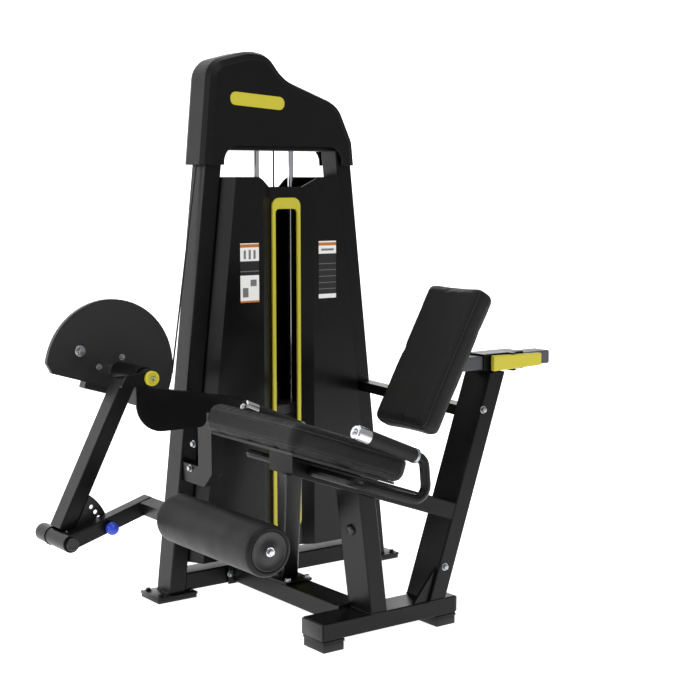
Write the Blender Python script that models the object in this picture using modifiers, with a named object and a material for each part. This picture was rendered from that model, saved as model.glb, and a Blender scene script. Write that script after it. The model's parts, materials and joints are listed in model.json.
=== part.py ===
"""Selectorised leg extension machine: a weight-stack tower, a tilted seat frame beside it,
and a swing arm with a cam and a padded roller between the two.

Metres, +Z up. +X runs from the feet to the backrest, -Y from the tower to the seat.
Every place below is worked out from the tower's centre line; at the end the parent empty
"machine" is moved so that the origin is at the bottom centre of the whole machine.
"""
import math

import bmesh
import bpy
from mathutils import Matrix, Vector

GAP = 0.0003                  # air between two pieces that touch
WALL = 0.003                  # wall of every steel tube
EDGE = 0.004                  # outer corner radius of a rectangular tube

# ---- weight tower ------------------------------------------------------------------------
BASE_WIDTH = 0.755            # across the uprights at the floor
TOP_WIDTH = 0.490             # across the uprights at the lower edge of the top cover
UPRIGHT_W = 0.050
UPRIGHT_D = 0.075
UPRIGHT_TOP = 1.255
FOOT_T = 0.018
FOOT_OUT = 0.044              # foot beyond the upright, outwards
FOOT_IN = 0.030
FOOT_SIDE = 0.014
BASE_BEAM_H = 0.050
CROSS_H = 0.016
COVER_Z = 1.197               # lower edge of the top cover
COVER_D = 0.118
COVER_WALL = 0.004
COVER_SIDE = 0.020            # left wall beyond the upright, with room for the cable
COVER_LAP = 0.005             # right wall beyond the upright
COVER_ROUND = 0.024           # upright edges of the cover
BADGE_CORNERS = [(-0.179, 1.360), (-0.179, 1.396), (-0.003, 1.384), (-0.003, 1.348)]   # x, z
BADGE_ROUND = 0.0165
BADGE_T = 0.0025
ARCH_TOP = 1.250
ARCH_R = 0.046
ARCH_SIDE = 0.005             # arch beyond the uprights' inner faces
PULLEY_R = 0.045              # cable centre line round a pulley
PULLEY_Z = 1.385
PULLEY_W = 0.018
CABLE_R = 0.0025

# ---- shrouds and stack -------------------------------------------------------------------
SHROUD_Z0 = 0.100
SHROUD_Z1 = 1.164
SHROUD_T = 0.004
SHROUD_EDGE_Y = 0.030         # side edge, from the tower's middle plane
WING_Y = 0.077
WING_FACET = 0.0245
CHANNEL_Y = 0.0587
CHANNEL_HALF = 0.052
CHANNEL_MOUTH = 0.085         # channel half width at the wings
NOTCH_DEPTH = 0.028
NOTCH_HALF = 0.055
NOTCH_RAMP = 0.045
SLOT_HALF = 0.0370
SLOT_Z0 = 0.165
SLOT_Z1 = 1.075
TRIM_BAND = 0.0105
TRIM_HEAD = 0.031
TRIM_T = 0.006
ROD_R = 0.008
ROD_HALF = 0.058              # guide rod from the tower's centre line
ROD_PLAY = 0.001
PLATE_W = 0.300
PLATE_D = 0.080
PLATE_H = 0.0255
LIFTED_PLATES = 5
RESTING_PLATES = 10
HEAD_H = 0.030
STACK_Z0 = 0.1015
STEM_R = 0.011
STEM_UP = 0.045
PIN_R = 0.005
PIN_KNOB_R = 0.012
PIN_DEPTH = 0.030

# ---- seat frame --------------------------------------------------------------------------
SEAT_Y = -0.614               # middle plane of the seat
BEAM_W = 0.100                # wide side of the seat frame's tubes
BEAM_T = 0.050                # narrow side
FLOOR_BEAM_W = 0.090
FLOOR_BEAM_H = 0.045
FLOOR_BEAM_Z = 0.030
FLOOR_BEAM_X0 = -0.297
FLOOR_BEAM_X1 = 0.129
BASE_FOOT_L = 0.065
LINK_X = -0.135               # beam that ties the seat frame to the tower
LINK_W = 0.080
LINK_H = 0.050
SEAT_TILT = math.radians(19.5)
SEAT_FRONT_X = -0.498         # lower front corner of the seat pad
SEAT_FRONT_Z = 0.551
PAD_L = 0.357
PAD_W = 0.400
PAD_T = 0.070
BOARD_T = 0.006
SEAT_BEAM_T = 0.045
SEAT_BEAM_X0 = -0.390
POST_LEAN = math.radians(7.4)
POST_X = -0.127               # front post's centre line at the floor beam
BACK_LEAN = math.radians(19.0)
BACK_X = 0.0630               # back post's centre line at the floor beam
BACK_TOP = 0.655
GUSSET_L = 0.045
GUSSET_H = 0.085
GUSSET_T = 0.008
STRUT_W = 0.045
STRUT_TOP_X = -0.362
STRUT_FOOT_X = -0.118
STRUT_FOOT_Y = -0.235
CROSS_BEAM_W = 0.040
CROSS_BEAM_H = 0.028
CROSS_BEAM_Z = 0.547

# ---- handles -----------------------------------------------------------------------------
HANDLE_HALF = 0.238           # grip from the seat's middle plane
HANDLE_R = 0.0125
HANDLE_BEND = 0.030
GRIP_R = 0.018
GRIP_L = 0.195
GRIP_FRONT = (-0.345, 0.586)  # x, z of the grip's front end
GRIP_REAR = (-0.153, 0.504)
HANDLE_LOW = (-0.131, 0.392)
HANDLE_ROOT = (-0.336, 0.464)

# ---- backrest ----------------------------------------------------------------------------
RECLINE = math.radians(28.9)
BACK_FACE_X = 0.054           # middle of the backrest's face
BACK_FACE_Z = 0.717
BACK_L = 0.402
BACK_W = 0.215
BACK_T = 0.070
BACK_PLATE_T = 0.006
BACK_PLATE_L = 0.180
BACK_PLATE_W = 0.120
SLIDER_Z = 0.6792
SLIDER_W = 0.060
SLIDER_H = 0.036
SLIDER_X1 = 0.466
SLEEVE_T = 0.005
SLEEVE_X0 = 0.226
SLEEVE_X1 = 0.366
SLIDE_PLAY = 0.0006
LEVER_X0 = 0.244
LEVER_X1 = 0.415
LEVER_H = 0.041
LEVER_H_END = 0.033
LEVER_T = 0.014
LEVER_GAP = 0.006             # room to squeeze the lever
LEVER_PIN_X = 0.316
EAR_HALF = 0.006

# ---- pivot, cam and swing arm --------------------------------------------------------------
AXIS_X = -0.526
AXIS_Z = 0.655
SHAFT_R = 0.015
SHAFT_PLAY = 0.0005
HOUSING_R = 0.0257
HOUSING_Y0 = -0.190
HOUSING_Y1 = -0.055
BEAM_SLOPE = math.radians(10.7)
PIVOT_BEAM_X0 = -0.552
PIVOT_BEAM_X1 = -0.230
PIVOT_BEAM_H = 0.050
PIVOT_BEAM_Y0 = -0.189
PIVOT_BEAM_Y1 = -0.147
GUARD_T = 0.0047
GUARD_X1 = -0.345
GUARD_Z0 = 0.508
GUARD_R = 0.078
BRACKET_X0 = -0.330
BRACKET_X1 = -0.292
BRACKET_Y0 = -0.192
BRACKET_Y1 = -0.122
BRACKET_Z0 = 0.335
BRACKET_Z1 = 0.386
BRACKET_CUT = 0.040
CAM_R = 0.187
CAM_T = 0.014
CAM_CHORD = 0.049             # cut edge below the axis
CAM_TURN = math.radians(17.0)
CAM_CORNER = 0.018
WEIGHT_L = 0.120
WEIGHT_H = 0.048
WEIGHT_T = 0.035
ARM_TOP = (-0.579, 0.650)     # x, z on the arm's centre line
ARM_FOOT = (-0.7725, 0.2677)  # centre of the lower pivot
ARM_TOP_Z = 0.656
ARM_W = 0.060
ARM_T = 0.040
ARM_Y = -0.182
LINK_T = 0.012
LINK_HALF = 0.020
HUB_R = 0.0215
CAP_R = 0.019
CAP_T = 0.012
LOWER_R = 0.0225
LOWER_Y1 = -0.098
SECTOR_R = 0.128
SECTOR_T = 0.006
SECTOR_LOW = math.radians(2.0)
HOLE_RING = 0.108
PIN_DROP = math.radians(3.0)  # pull pin below the roller arm's centre line
HOLE_R = 0.0058
HOLE_STEP = math.radians(9.5)
HOLE_COUNT = 4
ROLLER_ARM_T = 0.040
ROLLER_ARM_H = 0.038
ROLLER_ARM_Y = -0.238
ROLLER_X = -0.559
ROLLER_Z = 0.333
ROLLER_R = 0.060
ROLLER_L = 0.415
SPINDLE_R = 0.0125
ROLLER_PLAY = 0.001
BOLT_R = 0.014
BOLT_T = 0.012
KNOB_R = 0.018
KNOB_L = 0.028
KNOB_PIN_R = 0.005

# ---- what follows from them ----------------------------------------------------------------
FOOT_X = (BASE_WIDTH - UPRIGHT_W) / 2           # upright's centre line at the floor
LEAN_RUN = (BASE_WIDTH - TOP_WIDTH) / 2 / COVER_Z
SEAT_DIR = Vector((math.cos(SEAT_TILT), 0, -math.sin(SEAT_TILT)))
SEAT_UP = Vector((math.sin(SEAT_TILT), 0, math.cos(SEAT_TILT)))
SEAT_CORNER = Vector((SEAT_FRONT_X, SEAT_Y, SEAT_FRONT_Z))
BACK_UP = Vector((math.sin(RECLINE), 0, math.cos(RECLINE)))
BACK_OUT = Vector((math.cos(RECLINE), 0, -math.sin(RECLINE)))
BACK_FACE = Vector((BACK_FACE_X, SEAT_Y, BACK_FACE_Z))
FLOOR_TOP = FLOOR_BEAM_Z + FLOOR_BEAM_H
ACROSS = Vector((0, 1, 0))
CAM_PULLEY_X = -(TOP_WIDTH / 2 - LEAN_RUN * (PULLEY_Z - COVER_Z)) - 0.001 + PULLEY_R
STACK_PULLEY_X = -PULLEY_R
STACK_TOP = STACK_Z0 + (LIFTED_PLATES + RESTING_PLATES) * PLATE_H
LIFT_Z0 = STACK_Z0 + RESTING_PLATES * PLATE_H


def upright_x(z):
    """Centre line of the right upright at height z."""
    return FOOT_X - LEAN_RUN * z


def inner_x(z):
    """Inner face of the right upright at height z."""
    return upright_x(z) - UPRIGHT_W / 2


def back_post_x(z):
    return BACK_X + math.tan(BACK_LEAN) * (z - FLOOR_TOP)


def pivot_beam_top(x):
    """Upper face of the pivot beam, which the bearing housing sits on."""
    return AXIS_Z - (HOUSING_R + GAP) / math.cos(BEAM_SLOPE) - math.tan(BEAM_SLOPE) * (x - AXIS_X)


# ---- scene, collections, materials ---------------------------------------------------------
for old in list(bpy.data.objects):
    bpy.data.objects.remove(old, do_unlink=True)
for old in list(bpy.data.collections):
    bpy.data.collections.remove(old)

PARTS = bpy.data.collections.new("leg_extension_machine")
CUTTERS = bpy.data.collections.new("cutters")
bpy.context.scene.collection.children.link(PARTS)
bpy.context.scene.collection.children.link(CUTTERS)
MACHINE = bpy.data.objects.new("machine", None)
PARTS.objects.link(MACHINE)


def material(name, colour, roughness, metallic=0.0):
    made = bpy.data.materials.new(name)
    made.use_nodes = True
    shader = made.node_tree.nodes["Principled BSDF"]
    shader.inputs["Base Color"].default_value = (*colour, 1)
    shader.inputs["Roughness"].default_value = roughness
    shader.inputs["Metallic"].default_value = metallic
    return made


FRAME_PAINT = material("frame_powder_coat", (0.012, 0.012, 0.013), 0.35)
CHROME = material("chrome", (0.75, 0.75, 0.77), 0.12, 1.0)
STEEL = material("steel_plate", (0.05, 0.05, 0.052), 0.4, 0.6)
COVER = material("cover_plastic", (0.022, 0.022, 0.024), 0.5)
GLOSS = material("shroud_plastic", (0.008, 0.008, 0.009), 0.12)
TRIM = material("trim_plastic", (0.47, 0.42, 0.05), 0.45)
VINYL = material("vinyl", (0.014, 0.014, 0.015), 0.45)
RUBBER = material("rubber", (0.02, 0.02, 0.02), 0.8)
CABLE = material("cable_jacket", (0.02, 0.02, 0.022), 0.4)
BLUE = material("blue_plastic", (0.03, 0.12, 0.62), 0.4)
NYLON = material("pulley_nylon", (0.03, 0.03, 0.032), 0.5)
SATIN = material("satin_steel", (0.3, 0.3, 0.32), 0.35, 1.0)


# ---- shape helpers -------------------------------------------------------------------------
def finish(name, bm, finish_material, origin=(0, 0, 0), collection=PARTS):
    """Make an object from a bmesh whose points are in machine coordinates."""
    origin = Vector(origin)
    bmesh.ops.translate(bm, vec=-origin, verts=bm.verts)
    mesh = bpy.data.meshes.new(name)
    bm.to_mesh(mesh)
    bm.free()
    mesh.shade_smooth()
    mesh.set_sharp_from_angle(angle=math.radians(35))
    made = bpy.data.objects.new(name, mesh)
    made.location = origin
    made.parent = MACHINE
    collection.objects.link(made)
    if finish_material:
        mesh.materials.append(finish_material)
    if collection is CUTTERS:
        made.hide_render = True
        made.display_type = "WIRE"
    return made


def combine(target, other, operation="DIFFERENCE"):
    modifier = target.modifiers.new(other.name, "BOOLEAN")
    modifier.operation = operation
    modifier.solver = "EXACT"
    modifier.object = other


def round_box(bm, size, bevel=0.0, segments=2):
    """A box about the origin; bevel rounds all its edges."""
    bmesh.ops.create_cube(bm, size=1)
    bmesh.ops.scale(bm, vec=size, verts=bm.verts)
    if bevel:
        bmesh.ops.bevel(bm, geom=bm.edges[:], offset=bevel, offset_type="OFFSET", affect="EDGES",
                        segments=segments, profile=0.5, material=-1)


def box(name, low, high, finish_material, bevel=0.0, collection=PARTS, origin=None):
    """A box between two opposite corners."""
    low, high = Vector(low), Vector(high)
    bm = bmesh.new()
    round_box(bm, high - low, bevel)
    bmesh.ops.translate(bm, vec=(low + high) / 2, verts=bm.verts)
    return finish(name, bm, finish_material, origin or (low + high) / 2, collection)


def cylinder(name, radius, start, end, finish_material, collection=PARTS, segments=32, origin=None):
    """A round bar between two points."""
    start, end = Vector(start), Vector(end)
    run = end - start
    bm = bmesh.new()
    turn = run.to_track_quat("Z", "Y").to_matrix().to_4x4()
    bmesh.ops.create_cone(bm, cap_ends=True, segments=segments, radius1=radius, radius2=radius,
                          depth=run.length, matrix=Matrix.Translation((start + end) / 2) @ turn)
    return finish(name, bm, finish_material, origin or (start + end) / 2, collection)


def frame_matrix(start, end, side):
    """Local Z runs from start to end, local Y is as near to side as it can be."""
    along = (Vector(end) - Vector(start)).normalized()
    across = (Vector(side) - along * along.dot(Vector(side))).normalized()
    other = across.cross(along)
    turn = Matrix((other, across, along)).transposed().to_4x4()
    return Matrix.Translation((Vector(start) + Vector(end)) / 2) @ turn


def tube_shell(length, wide, thick, radius, place, planes):
    """An open rectangular tube shell, its ends cut by planes of (point, outward normal)."""
    shell = bmesh.new()
    bmesh.ops.create_cube(shell, size=1)
    bmesh.ops.scale(shell, vec=(thick, wide, length), verts=shell.verts)
    ends = [face for face in shell.faces if abs(face.normal.z) > 0.9]
    bmesh.ops.delete(shell, geom=ends, context="FACES_ONLY")
    long_edges = [edge for edge in shell.edges
                  if abs(edge.verts[0].co.z - edge.verts[1].co.z) > length / 2]
    bmesh.ops.bevel(shell, geom=long_edges, offset=radius, offset_type="OFFSET", affect="EDGES",
                    segments=3, profile=0.5, material=-1)
    bmesh.ops.transform(shell, matrix=place, verts=shell.verts)
    for point, normal in planes:
        bmesh.ops.bisect_plane(shell, geom=shell.verts[:] + shell.edges[:] + shell.faces[:],
                               dist=1e-7, plane_co=point, plane_no=normal, clear_outer=True)
    return shell


def rect_tube(name, start, end, side, wide, thick, finish_material, planes=None, closed=(),
              wall=WALL, origin=None):
    """A hollow rectangular tube. planes trim its ends; closed lists the ends that are capped."""
    start, end = Vector(start), Vector(end)
    along = (end - start).normalized()
    planes = planes or [(start, -along), (end, along)]
    spare = 3 * max(wide, thick)              # enough for a slanting cut
    place = frame_matrix(start - along * spare, end + along * spare, side)
    length = (end - start).length + 2 * spare
    inner_planes = [(Vector(point) - Vector(normal).normalized() * wall, normal)
                    if index in closed else (point, normal)
                    for index, (point, normal) in enumerate(planes)]
    outer = tube_shell(length, wide, thick, EDGE, place, planes)
    inner = tube_shell(length, wide - 2 * wall, thick - 2 * wall, EDGE / 2, place, inner_planes)
    bmesh.ops.reverse_faces(inner, faces=inner.faces)
    scratch = bpy.data.meshes.new("scratch")
    inner.to_mesh(scratch)
    outer.from_mesh(scratch)
    inner.free()
    bpy.data.meshes.remove(scratch)
    for index, (point, normal) in enumerate(planes):
        point, normal = Vector(point), Vector(normal).normalized()
        rim = [edge for edge in outer.edges if edge.is_boundary
               and all(abs((vert.co - point).dot(normal)) < 1e-5 for vert in edge.verts)]
        if index in closed:
            inner_point = point - normal * wall
            back = [edge for edge in outer.edges if edge.is_boundary
                    and all(abs((vert.co - inner_point).dot(normal)) < 1e-5 for vert in edge.verts)]
            bmesh.ops.edgeloop_fill(outer, edges=rim)
            bmesh.ops.edgeloop_fill(outer, edges=back)
        else:
            bmesh.ops.bridge_loops(outer, edges=rim)
    bmesh.ops.recalc_face_normals(outer, faces=outer.faces)
    return finish(name, outer, finish_material, origin or (start + end) / 2)


def rounded(points, radii, steps=6):
    """A closed outline of 2D points with each corner turned into an arc."""
    outline = []
    count = len(points)
    for index, radius in enumerate(radii):
        corner = Vector(points[index])
        back = (Vector(points[index - 1]) - corner).normalized()
        ahead = (Vector(points[(index + 1) % count]) - corner).normalized()
        if radius <= 0:
            outline.append(corner)
            continue
        half = back.angle(ahead) / 2
        centre = corner + (back + ahead).normalized() * radius / math.sin(half)
        first = corner + back * radius / math.tan(half) - centre
        last = corner + ahead * radius / math.tan(half) - centre
        sweep = first.angle_signed(last)
        for step in range(steps + 1):
            outline.append(centre + Matrix.Rotation(-sweep * step / steps, 2) @ first)
    return outline


def slab(name, outline, low, high, plane, finish_material, collection=PARTS, origin=None, bevel=0.0):
    """A 2D outline given a thickness. plane is "XZ" (thick along Y) or "YZ" (thick along X)."""
    bm = bmesh.new()
    if plane == "XZ":
        verts = [bm.verts.new((point[0], low, point[1])) for point in outline]
        push = Vector((0, high - low, 0))
    else:
        verts = [bm.verts.new((low, point[0], point[1])) for point in outline]
        push = Vector((high - low, 0, 0))
    face = bm.faces.new(verts)
    grown = bmesh.ops.extrude_face_region(bm, geom=[face])
    moved = [item for item in grown["geom"] if isinstance(item, bmesh.types.BMVert)]
    bmesh.ops.translate(bm, vec=push, verts=moved)
    bmesh.ops.recalc_face_normals(bm, faces=bm.faces)
    if bevel:
        rims = [edge for edge in bm.edges if len({round(v.co.dot(push.normalized()), 6)
                                                  for v in edge.verts}) == 1]
        bmesh.ops.bevel(bm, geom=rims, offset=bevel, offset_type="OFFSET", affect="EDGES",
                        segments=2, profile=0.5, material=-1)
    return finish(name, bm, finish_material, origin or (0, 0, 0), collection)


def bent_path(points, radius, steps=6):
    """A polyline through 3D points with its inner corners turned into arcs."""
    points = [Vector(point) for point in points]
    path = [points[0]]
    for before, corner, after in zip(points, points[1:], points[2:]):
        back = (before - corner).normalized()
        ahead = (after - corner).normalized()
        half = back.angle(ahead) / 2
        centre = corner + (back + ahead).normalized() * radius / math.sin(half)
        first = corner + back * radius / math.tan(half) - centre
        last = corner + ahead * radius / math.tan(half) - centre
        turn = first.rotation_difference(last)
        axis, sweep = turn.to_axis_angle()
        for step in range(steps + 1):
            path.append(centre + Matrix.Rotation(sweep * step / steps, 3, axis) @ first)
    path.append(points[-1])
    return path


def pipe(name, path, radius, finish_material, resolution=4):
    """A round solid tube along a path, as a curve with filled caps."""
    curve = bpy.data.curves.new(name, "CURVE")
    curve.dimensions = "3D"
    curve.bevel_depth = radius
    curve.bevel_resolution = resolution
    curve.use_fill_caps = True
    curve.materials.append(finish_material)
    spline = curve.splines.new("POLY")
    spline.points.add(len(path) - 1)
    for point, place in zip(spline.points, path):
        point.co = (*place, 1)
    made = bpy.data.objects.new(name, curve)
    made.parent = MACHINE
    PARTS.objects.link(made)
    return made


def turned(name, profile, centre, axis, finish_material, steps=48, origin=None):
    """A body turned about an axis: profile is (radius, height) from its top centre down."""
    bm = bmesh.new()
    verts = [bm.verts.new((radius, 0, height)) for radius, height in profile]
    edges = [bm.edges.new(pair) for pair in zip(verts, verts[1:])]
    bmesh.ops.spin(bm, geom=verts + edges, cent=(0, 0, 0), axis=(0, 0, 1), angle=2 * math.pi,
                   steps=steps, use_merge=True)
    bmesh.ops.remove_doubles(bm, verts=bm.verts, dist=1e-6)
    bmesh.ops.recalc_face_normals(bm, faces=bm.faces)
    turn = Vector(axis).to_track_quat("Z", "Y").to_matrix().to_4x4()
    bmesh.ops.transform(bm, matrix=Matrix.Translation(Vector(centre)) @ turn, verts=bm.verts)
    return finish(name, bm, finish_material, origin or centre)


# ---- weight tower --------------------------------------------------------------------------
def build_tower():
    for side, sign in (("left", -1), ("right", 1)):
        foot = Vector((sign * upright_x(FOOT_T), 0, FOOT_T + GAP))
        head = Vector((sign * upright_x(UPRIGHT_TOP), 0, UPRIGHT_TOP))
        thick = UPRIGHT_W * math.cos(math.atan(LEAN_RUN))
        rect_tube(side + "_upright", foot, head, ACROSS, UPRIGHT_D, thick, FRAME_PAINT,
                  planes=[(foot, (0, 0, -1)), (head, (0, 0, 1))])
        outer = sign * (upright_x(FOOT_T) + UPRIGHT_W / 2 + FOOT_OUT)
        inner = sign * (upright_x(FOOT_T) - UPRIGHT_W / 2 - FOOT_IN)
        half = UPRIGHT_D / 2 + FOOT_SIDE
        box(side + "_foot", (min(outer, inner), -half, 0), (max(outer, inner), half, FOOT_T),
            RUBBER, bevel=0.002)

    for name, low, height in (("tower_base_beam", FOOT_T + 0.002, BASE_BEAM_H),
                              ("top_crossmember", UPRIGHT_TOP - 0.002 - CROSS_H, CROSS_H)):
        middle = low + height / 2
        reach = inner_x(middle) - GAP
        normal = Vector((1, 0, LEAN_RUN)).normalized()
        rect_tube(name, (-reach, 0, middle), (reach, 0, middle), ACROSS, UPRIGHT_D - 0.001, height,
                  FRAME_PAINT, planes=[((-reach, 0, middle), (-normal.x, 0, normal.z)),
                                       ((reach, 0, middle), normal)])
    hole = cylinder("crossmember_cable_hole", 3 * CABLE_R, (0, 0, UPRIGHT_TOP - 2 * CROSS_H),
                    (0, 0, UPRIGHT_TOP + CROSS_H), None, CUTTERS, 16)
    combine(bpy.data.objects["top_crossmember"], hole)

    rod_foot = FOOT_T + 0.002 + BASE_BEAM_H + GAP
    rod_head = UPRIGHT_TOP - 0.002 - CROSS_H - GAP
    for side, sign in (("left", -1), ("right", 1)):
        cylinder(side + "_guide_rod", ROD_R, (sign * ROD_HALF, 0, rod_foot),
                 (sign * ROD_HALF, 0, rod_head), CHROME, segments=24)


def build_pulleys():
    low = UPRIGHT_TOP + GAP
    left = CAM_PULLEY_X - PULLEY_R * 0.7
    right = STACK_PULLEY_X + PULLEY_R * 0.7
    half = PULLEY_W / 2 + 0.009
    bracket = box("pulley_bracket", (left, -half, low), (right, half, PULLEY_Z + 0.018), FRAME_PAINT)
    slot = box("pulley_bracket_slot", (left - 0.01, -half + 0.005, low + 0.006),
               (right + 0.01, half - 0.005, PULLEY_Z + 0.05), None, collection=CUTTERS)
    combine(bracket, slot)
    for name, x in (("cam_pulley", CAM_PULLEY_X), ("stack_pulley", STACK_PULLEY_X)):
        hole = cylinder(name + "_axle_hole", 0.0065, (x, -0.05, PULLEY_Z), (x, 0.05, PULLEY_Z),
                        None, CUTTERS, 20)
        combine(bracket, hole)
        groove = PULLEY_R - CABLE_R - GAP
        rim = PULLEY_R + CABLE_R
        w = PULLEY_W / 2
        profile = [(0, half), (0.006, half), (0.006, w), (rim, w), (rim, w - 0.002),
                   (groove, CABLE_R), (groove, -CABLE_R), (rim, 0.002 - w), (rim, -w),
                   (0.006, -w), (0.006, -half), (0, -half)]
        turned(name, profile, (x, 0, PULLEY_Z), (0, 1, 0), NYLON, steps=36)


def cover_outline(inset, low):
    """Front outline of the top cover, set in by a distance, down to a height."""
    left = -(TOP_WIDTH / 2 + COVER_SIDE) + inset
    right = TOP_WIDTH / 2 + COVER_LAP - inset
    points = [(left, low), (left, COVER_Z), (left + 0.026, COVER_Z + 0.278 - inset),
              (-0.105, COVER_Z + 0.313 - inset), (-0.045 - inset / 2, COVER_Z + 0.303 - inset),
              (0.005 - inset / 2, COVER_Z + 0.240 - inset), (right - 0.058, COVER_Z + 0.175 - inset),
              (right - 0.007, COVER_Z + 0.069), (right, COVER_Z), (right, low)]
    return rounded(points, [0, 0, 0.060, 0.140, 0.065, 0.140, 0.080, 0.080, 0, 0])


def build_cover():
    half = COVER_D / 2
    cover = slab("top_cover", cover_outline(0, COVER_Z - COVER_ROUND * 2), -half, half, "XZ", COVER,
                 bevel=COVER_ROUND)
    hollow = slab("cover_hollow", cover_outline(COVER_WALL, COVER_Z - COVER_ROUND * 3), COVER_WALL - half,
                  half - COVER_WALL, "XZ", None, CUTTERS, bevel=COVER_ROUND - COVER_WALL)
    arch_half = inner_x(COVER_Z) + ARCH_SIDE
    arch = slab("cover_arch", rounded([(-arch_half, COVER_Z - 0.05), (-arch_half, ARCH_TOP),
                                       (arch_half, ARCH_TOP), (arch_half, COVER_Z - 0.05)],
                                      [0, ARCH_R, ARCH_R, 0]), -COVER_D, COVER_D, "XZ", None, CUTTERS)
    skirt = box("cover_skirt_cut", (-0.5, -COVER_D, COVER_Z - 0.1), (0.5, COVER_D, COVER_Z), None,
                collection=CUTTERS)
    combine(cover, hollow)
    combine(cover, arch)
    combine(cover, skirt)
    slab("badge", rounded(BADGE_CORNERS, [BADGE_ROUND] * 4), -half - GAP - BADGE_T, -half - GAP, "XZ", TRIM)


def shroud(name, sign):
    """A folded panel between the uprights: sign is -1 for the front one, 1 for the rear one."""
    bm = bmesh.new()
    rows = []
    for z in (SHROUD_Z0, SHROUD_Z1):
        edge = inner_x(z) - 0.0006
        half = [(edge, SHROUD_EDGE_Y), (edge - WING_FACET, WING_Y), (CHANNEL_MOUTH, WING_Y),
                (CHANNEL_HALF, CHANNEL_Y)]
        section = [(-x, y) for x, y in half] + [(x, y) for x, y in reversed(half)]
        rows.append([bm.verts.new((x, sign * y, z)) for x, y in section])
    for low, high in zip(zip(rows[0], rows[0][1:]), zip(rows[1], rows[1][1:])):
        bm.faces.new((low[0], low[1], high[1], high[0]))
    bmesh.ops.recalc_face_normals(bm, faces=bm.faces)
    if bm.faces[0].normal.y * sign < 0:
        bmesh.ops.reverse_faces(bm, faces=bm.faces)
    panel = finish(name, bm, GLOSS)
    wall = panel.modifiers.new("wall", "SOLIDIFY")
    wall.thickness = SHROUD_T
    wall.offset = -1
    wall.use_even_offset = True
    top = SHROUD_Z1
    notch = slab(name + "_notch", [(-NOTCH_HALF - NOTCH_RAMP, top + 0.001), (-NOTCH_HALF, top - NOTCH_DEPTH),
                                   (NOTCH_HALF, top - NOTCH_DEPTH), (NOTCH_HALF + NOTCH_RAMP, top + 0.001),
                                   (NOTCH_HALF + NOTCH_RAMP, top + 0.05),
                                   (-NOTCH_HALF - NOTCH_RAMP, top + 0.05)],
                 min(0, sign * 0.12), max(0, sign * 0.12), "XZ", None, CUTTERS)
    combine(panel, notch)
    return panel


def build_shrouds():
    front = shroud("front_shroud", -1)
    shroud("rear_shroud", 1)
    slot = slab("shroud_slot", rounded([(-SLOT_HALF, SLOT_Z0), (-SLOT_HALF, SLOT_Z1), (SLOT_HALF, SLOT_Z1),
                                        (SLOT_HALF, SLOT_Z0)], [0.012] * 4), -0.12, -0.01, "XZ", None, CUTTERS)
    combine(front, slot)
    outer = SLOT_HALF + TRIM_BAND
    face = -CHANNEL_Y - GAP
    trim = slab("slot_trim", rounded([(-outer, SLOT_Z0 - TRIM_BAND), (-outer, SLOT_Z1 + TRIM_HEAD),
                                      (outer, SLOT_Z1 + TRIM_HEAD), (outer, SLOT_Z0 - TRIM_BAND)],
                                     [0.024] * 4), face - TRIM_T, face, "XZ", TRIM)
    combine(trim, slot)


def build_stack():
    clear_rod = ROD_R + ROD_PLAY
    def bored(block, low, high):
        for sign in (-1, 1):
            bore = cylinder(block.name + "_rod_bore_%d" % (sign + 1), clear_rod,
                            (sign * ROD_HALF, 0, low - 0.01), (sign * ROD_HALF, 0, high + 0.01),
                            None, CUTTERS, 20)
            combine(block, bore)

    def grooved(name, low, count):
        bm = bmesh.new()
        half = (PLATE_W / 2, PLATE_D / 2)
        edge = 0.0015
        profile = []
        for index in range(count):
            base = low + index * PLATE_H
            profile += [(1, base), (0, base + edge), (0, base + PLATE_H - edge)]
        profile.append((1, low + count * PLATE_H))
        rings = []
        for inset, z in profile:
            x, y = half[0] - inset * edge, half[1] - inset * edge
            rings.append([bm.verts.new((sx * x, sy * y, z))
                          for sx, sy in ((-1, -1), (1, -1), (1, 1), (-1, 1))])
        for lower, upper in zip(rings, rings[1:]):
            for index in range(4):
                after = (index + 1) % 4
                bm.faces.new((lower[index], lower[after], upper[after], upper[index]))
        bm.faces.new(list(reversed(rings[0])))
        bm.faces.new(rings[-1])
        return finish(name, bm, STEEL)

    resting = grooved("resting_plates", STACK_Z0, RESTING_PLATES)
    lifted = grooved("lifted_plates", LIFT_Z0 + GAP, LIFTED_PLATES)
    bored(resting, STACK_Z0, LIFT_Z0)
    bored(lifted, LIFT_Z0, STACK_TOP)
    stem_hole = cylinder("stem_bore", STEM_R + 0.0015, (0, 0, STACK_Z0 - 0.01), (0, 0, STACK_TOP + 0.01),
                         None, CUTTERS, 24)
    combine(resting, stem_hole)
    combine(lifted, stem_hole)
    pin_z = LIFT_Z0 + PLATE_H / 2
    front = -PLATE_D / 2
    pin_hole = cylinder("pin_bore", PIN_R + 0.0005, (0, front - 0.01, pin_z),
                        (0, front + PIN_DEPTH - 0.002, pin_z), None, CUTTERS, 20)
    combine(lifted, pin_hole)
    base = STACK_TOP + 2 * GAP
    head = box("stack_head_plate", (-PLATE_W / 2, -PLATE_D / 2, base), (PLATE_W / 2, PLATE_D / 2, base + HEAD_H),
               STEEL, bevel=0.003)
    stem = cylinder("stem_body", STEM_R, (0, 0, STACK_Z0 + 0.02), (0, 0, base + HEAD_H + STEM_UP), None,
                    CUTTERS, 24)
    combine(head, stem, "UNION")
    bored(head, base, base + HEAD_H)
    start = front + PIN_DEPTH - 0.004 - STEM_R
    knob = -CHANNEL_Y - 0.004
    profile = [(0, 0), (PIN_R, 0), (PIN_R, start - knob), (PIN_KNOB_R, start - knob),
               (PIN_KNOB_R, start - knob + 0.013), (PIN_KNOB_R - 0.003, start - knob + 0.016),
               (0, start - knob + 0.016)]
    turned("selector_pin", profile, (0, start, pin_z), (0, -1, 0), TRIM, steps=24, origin=(0, front, pin_z))


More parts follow.
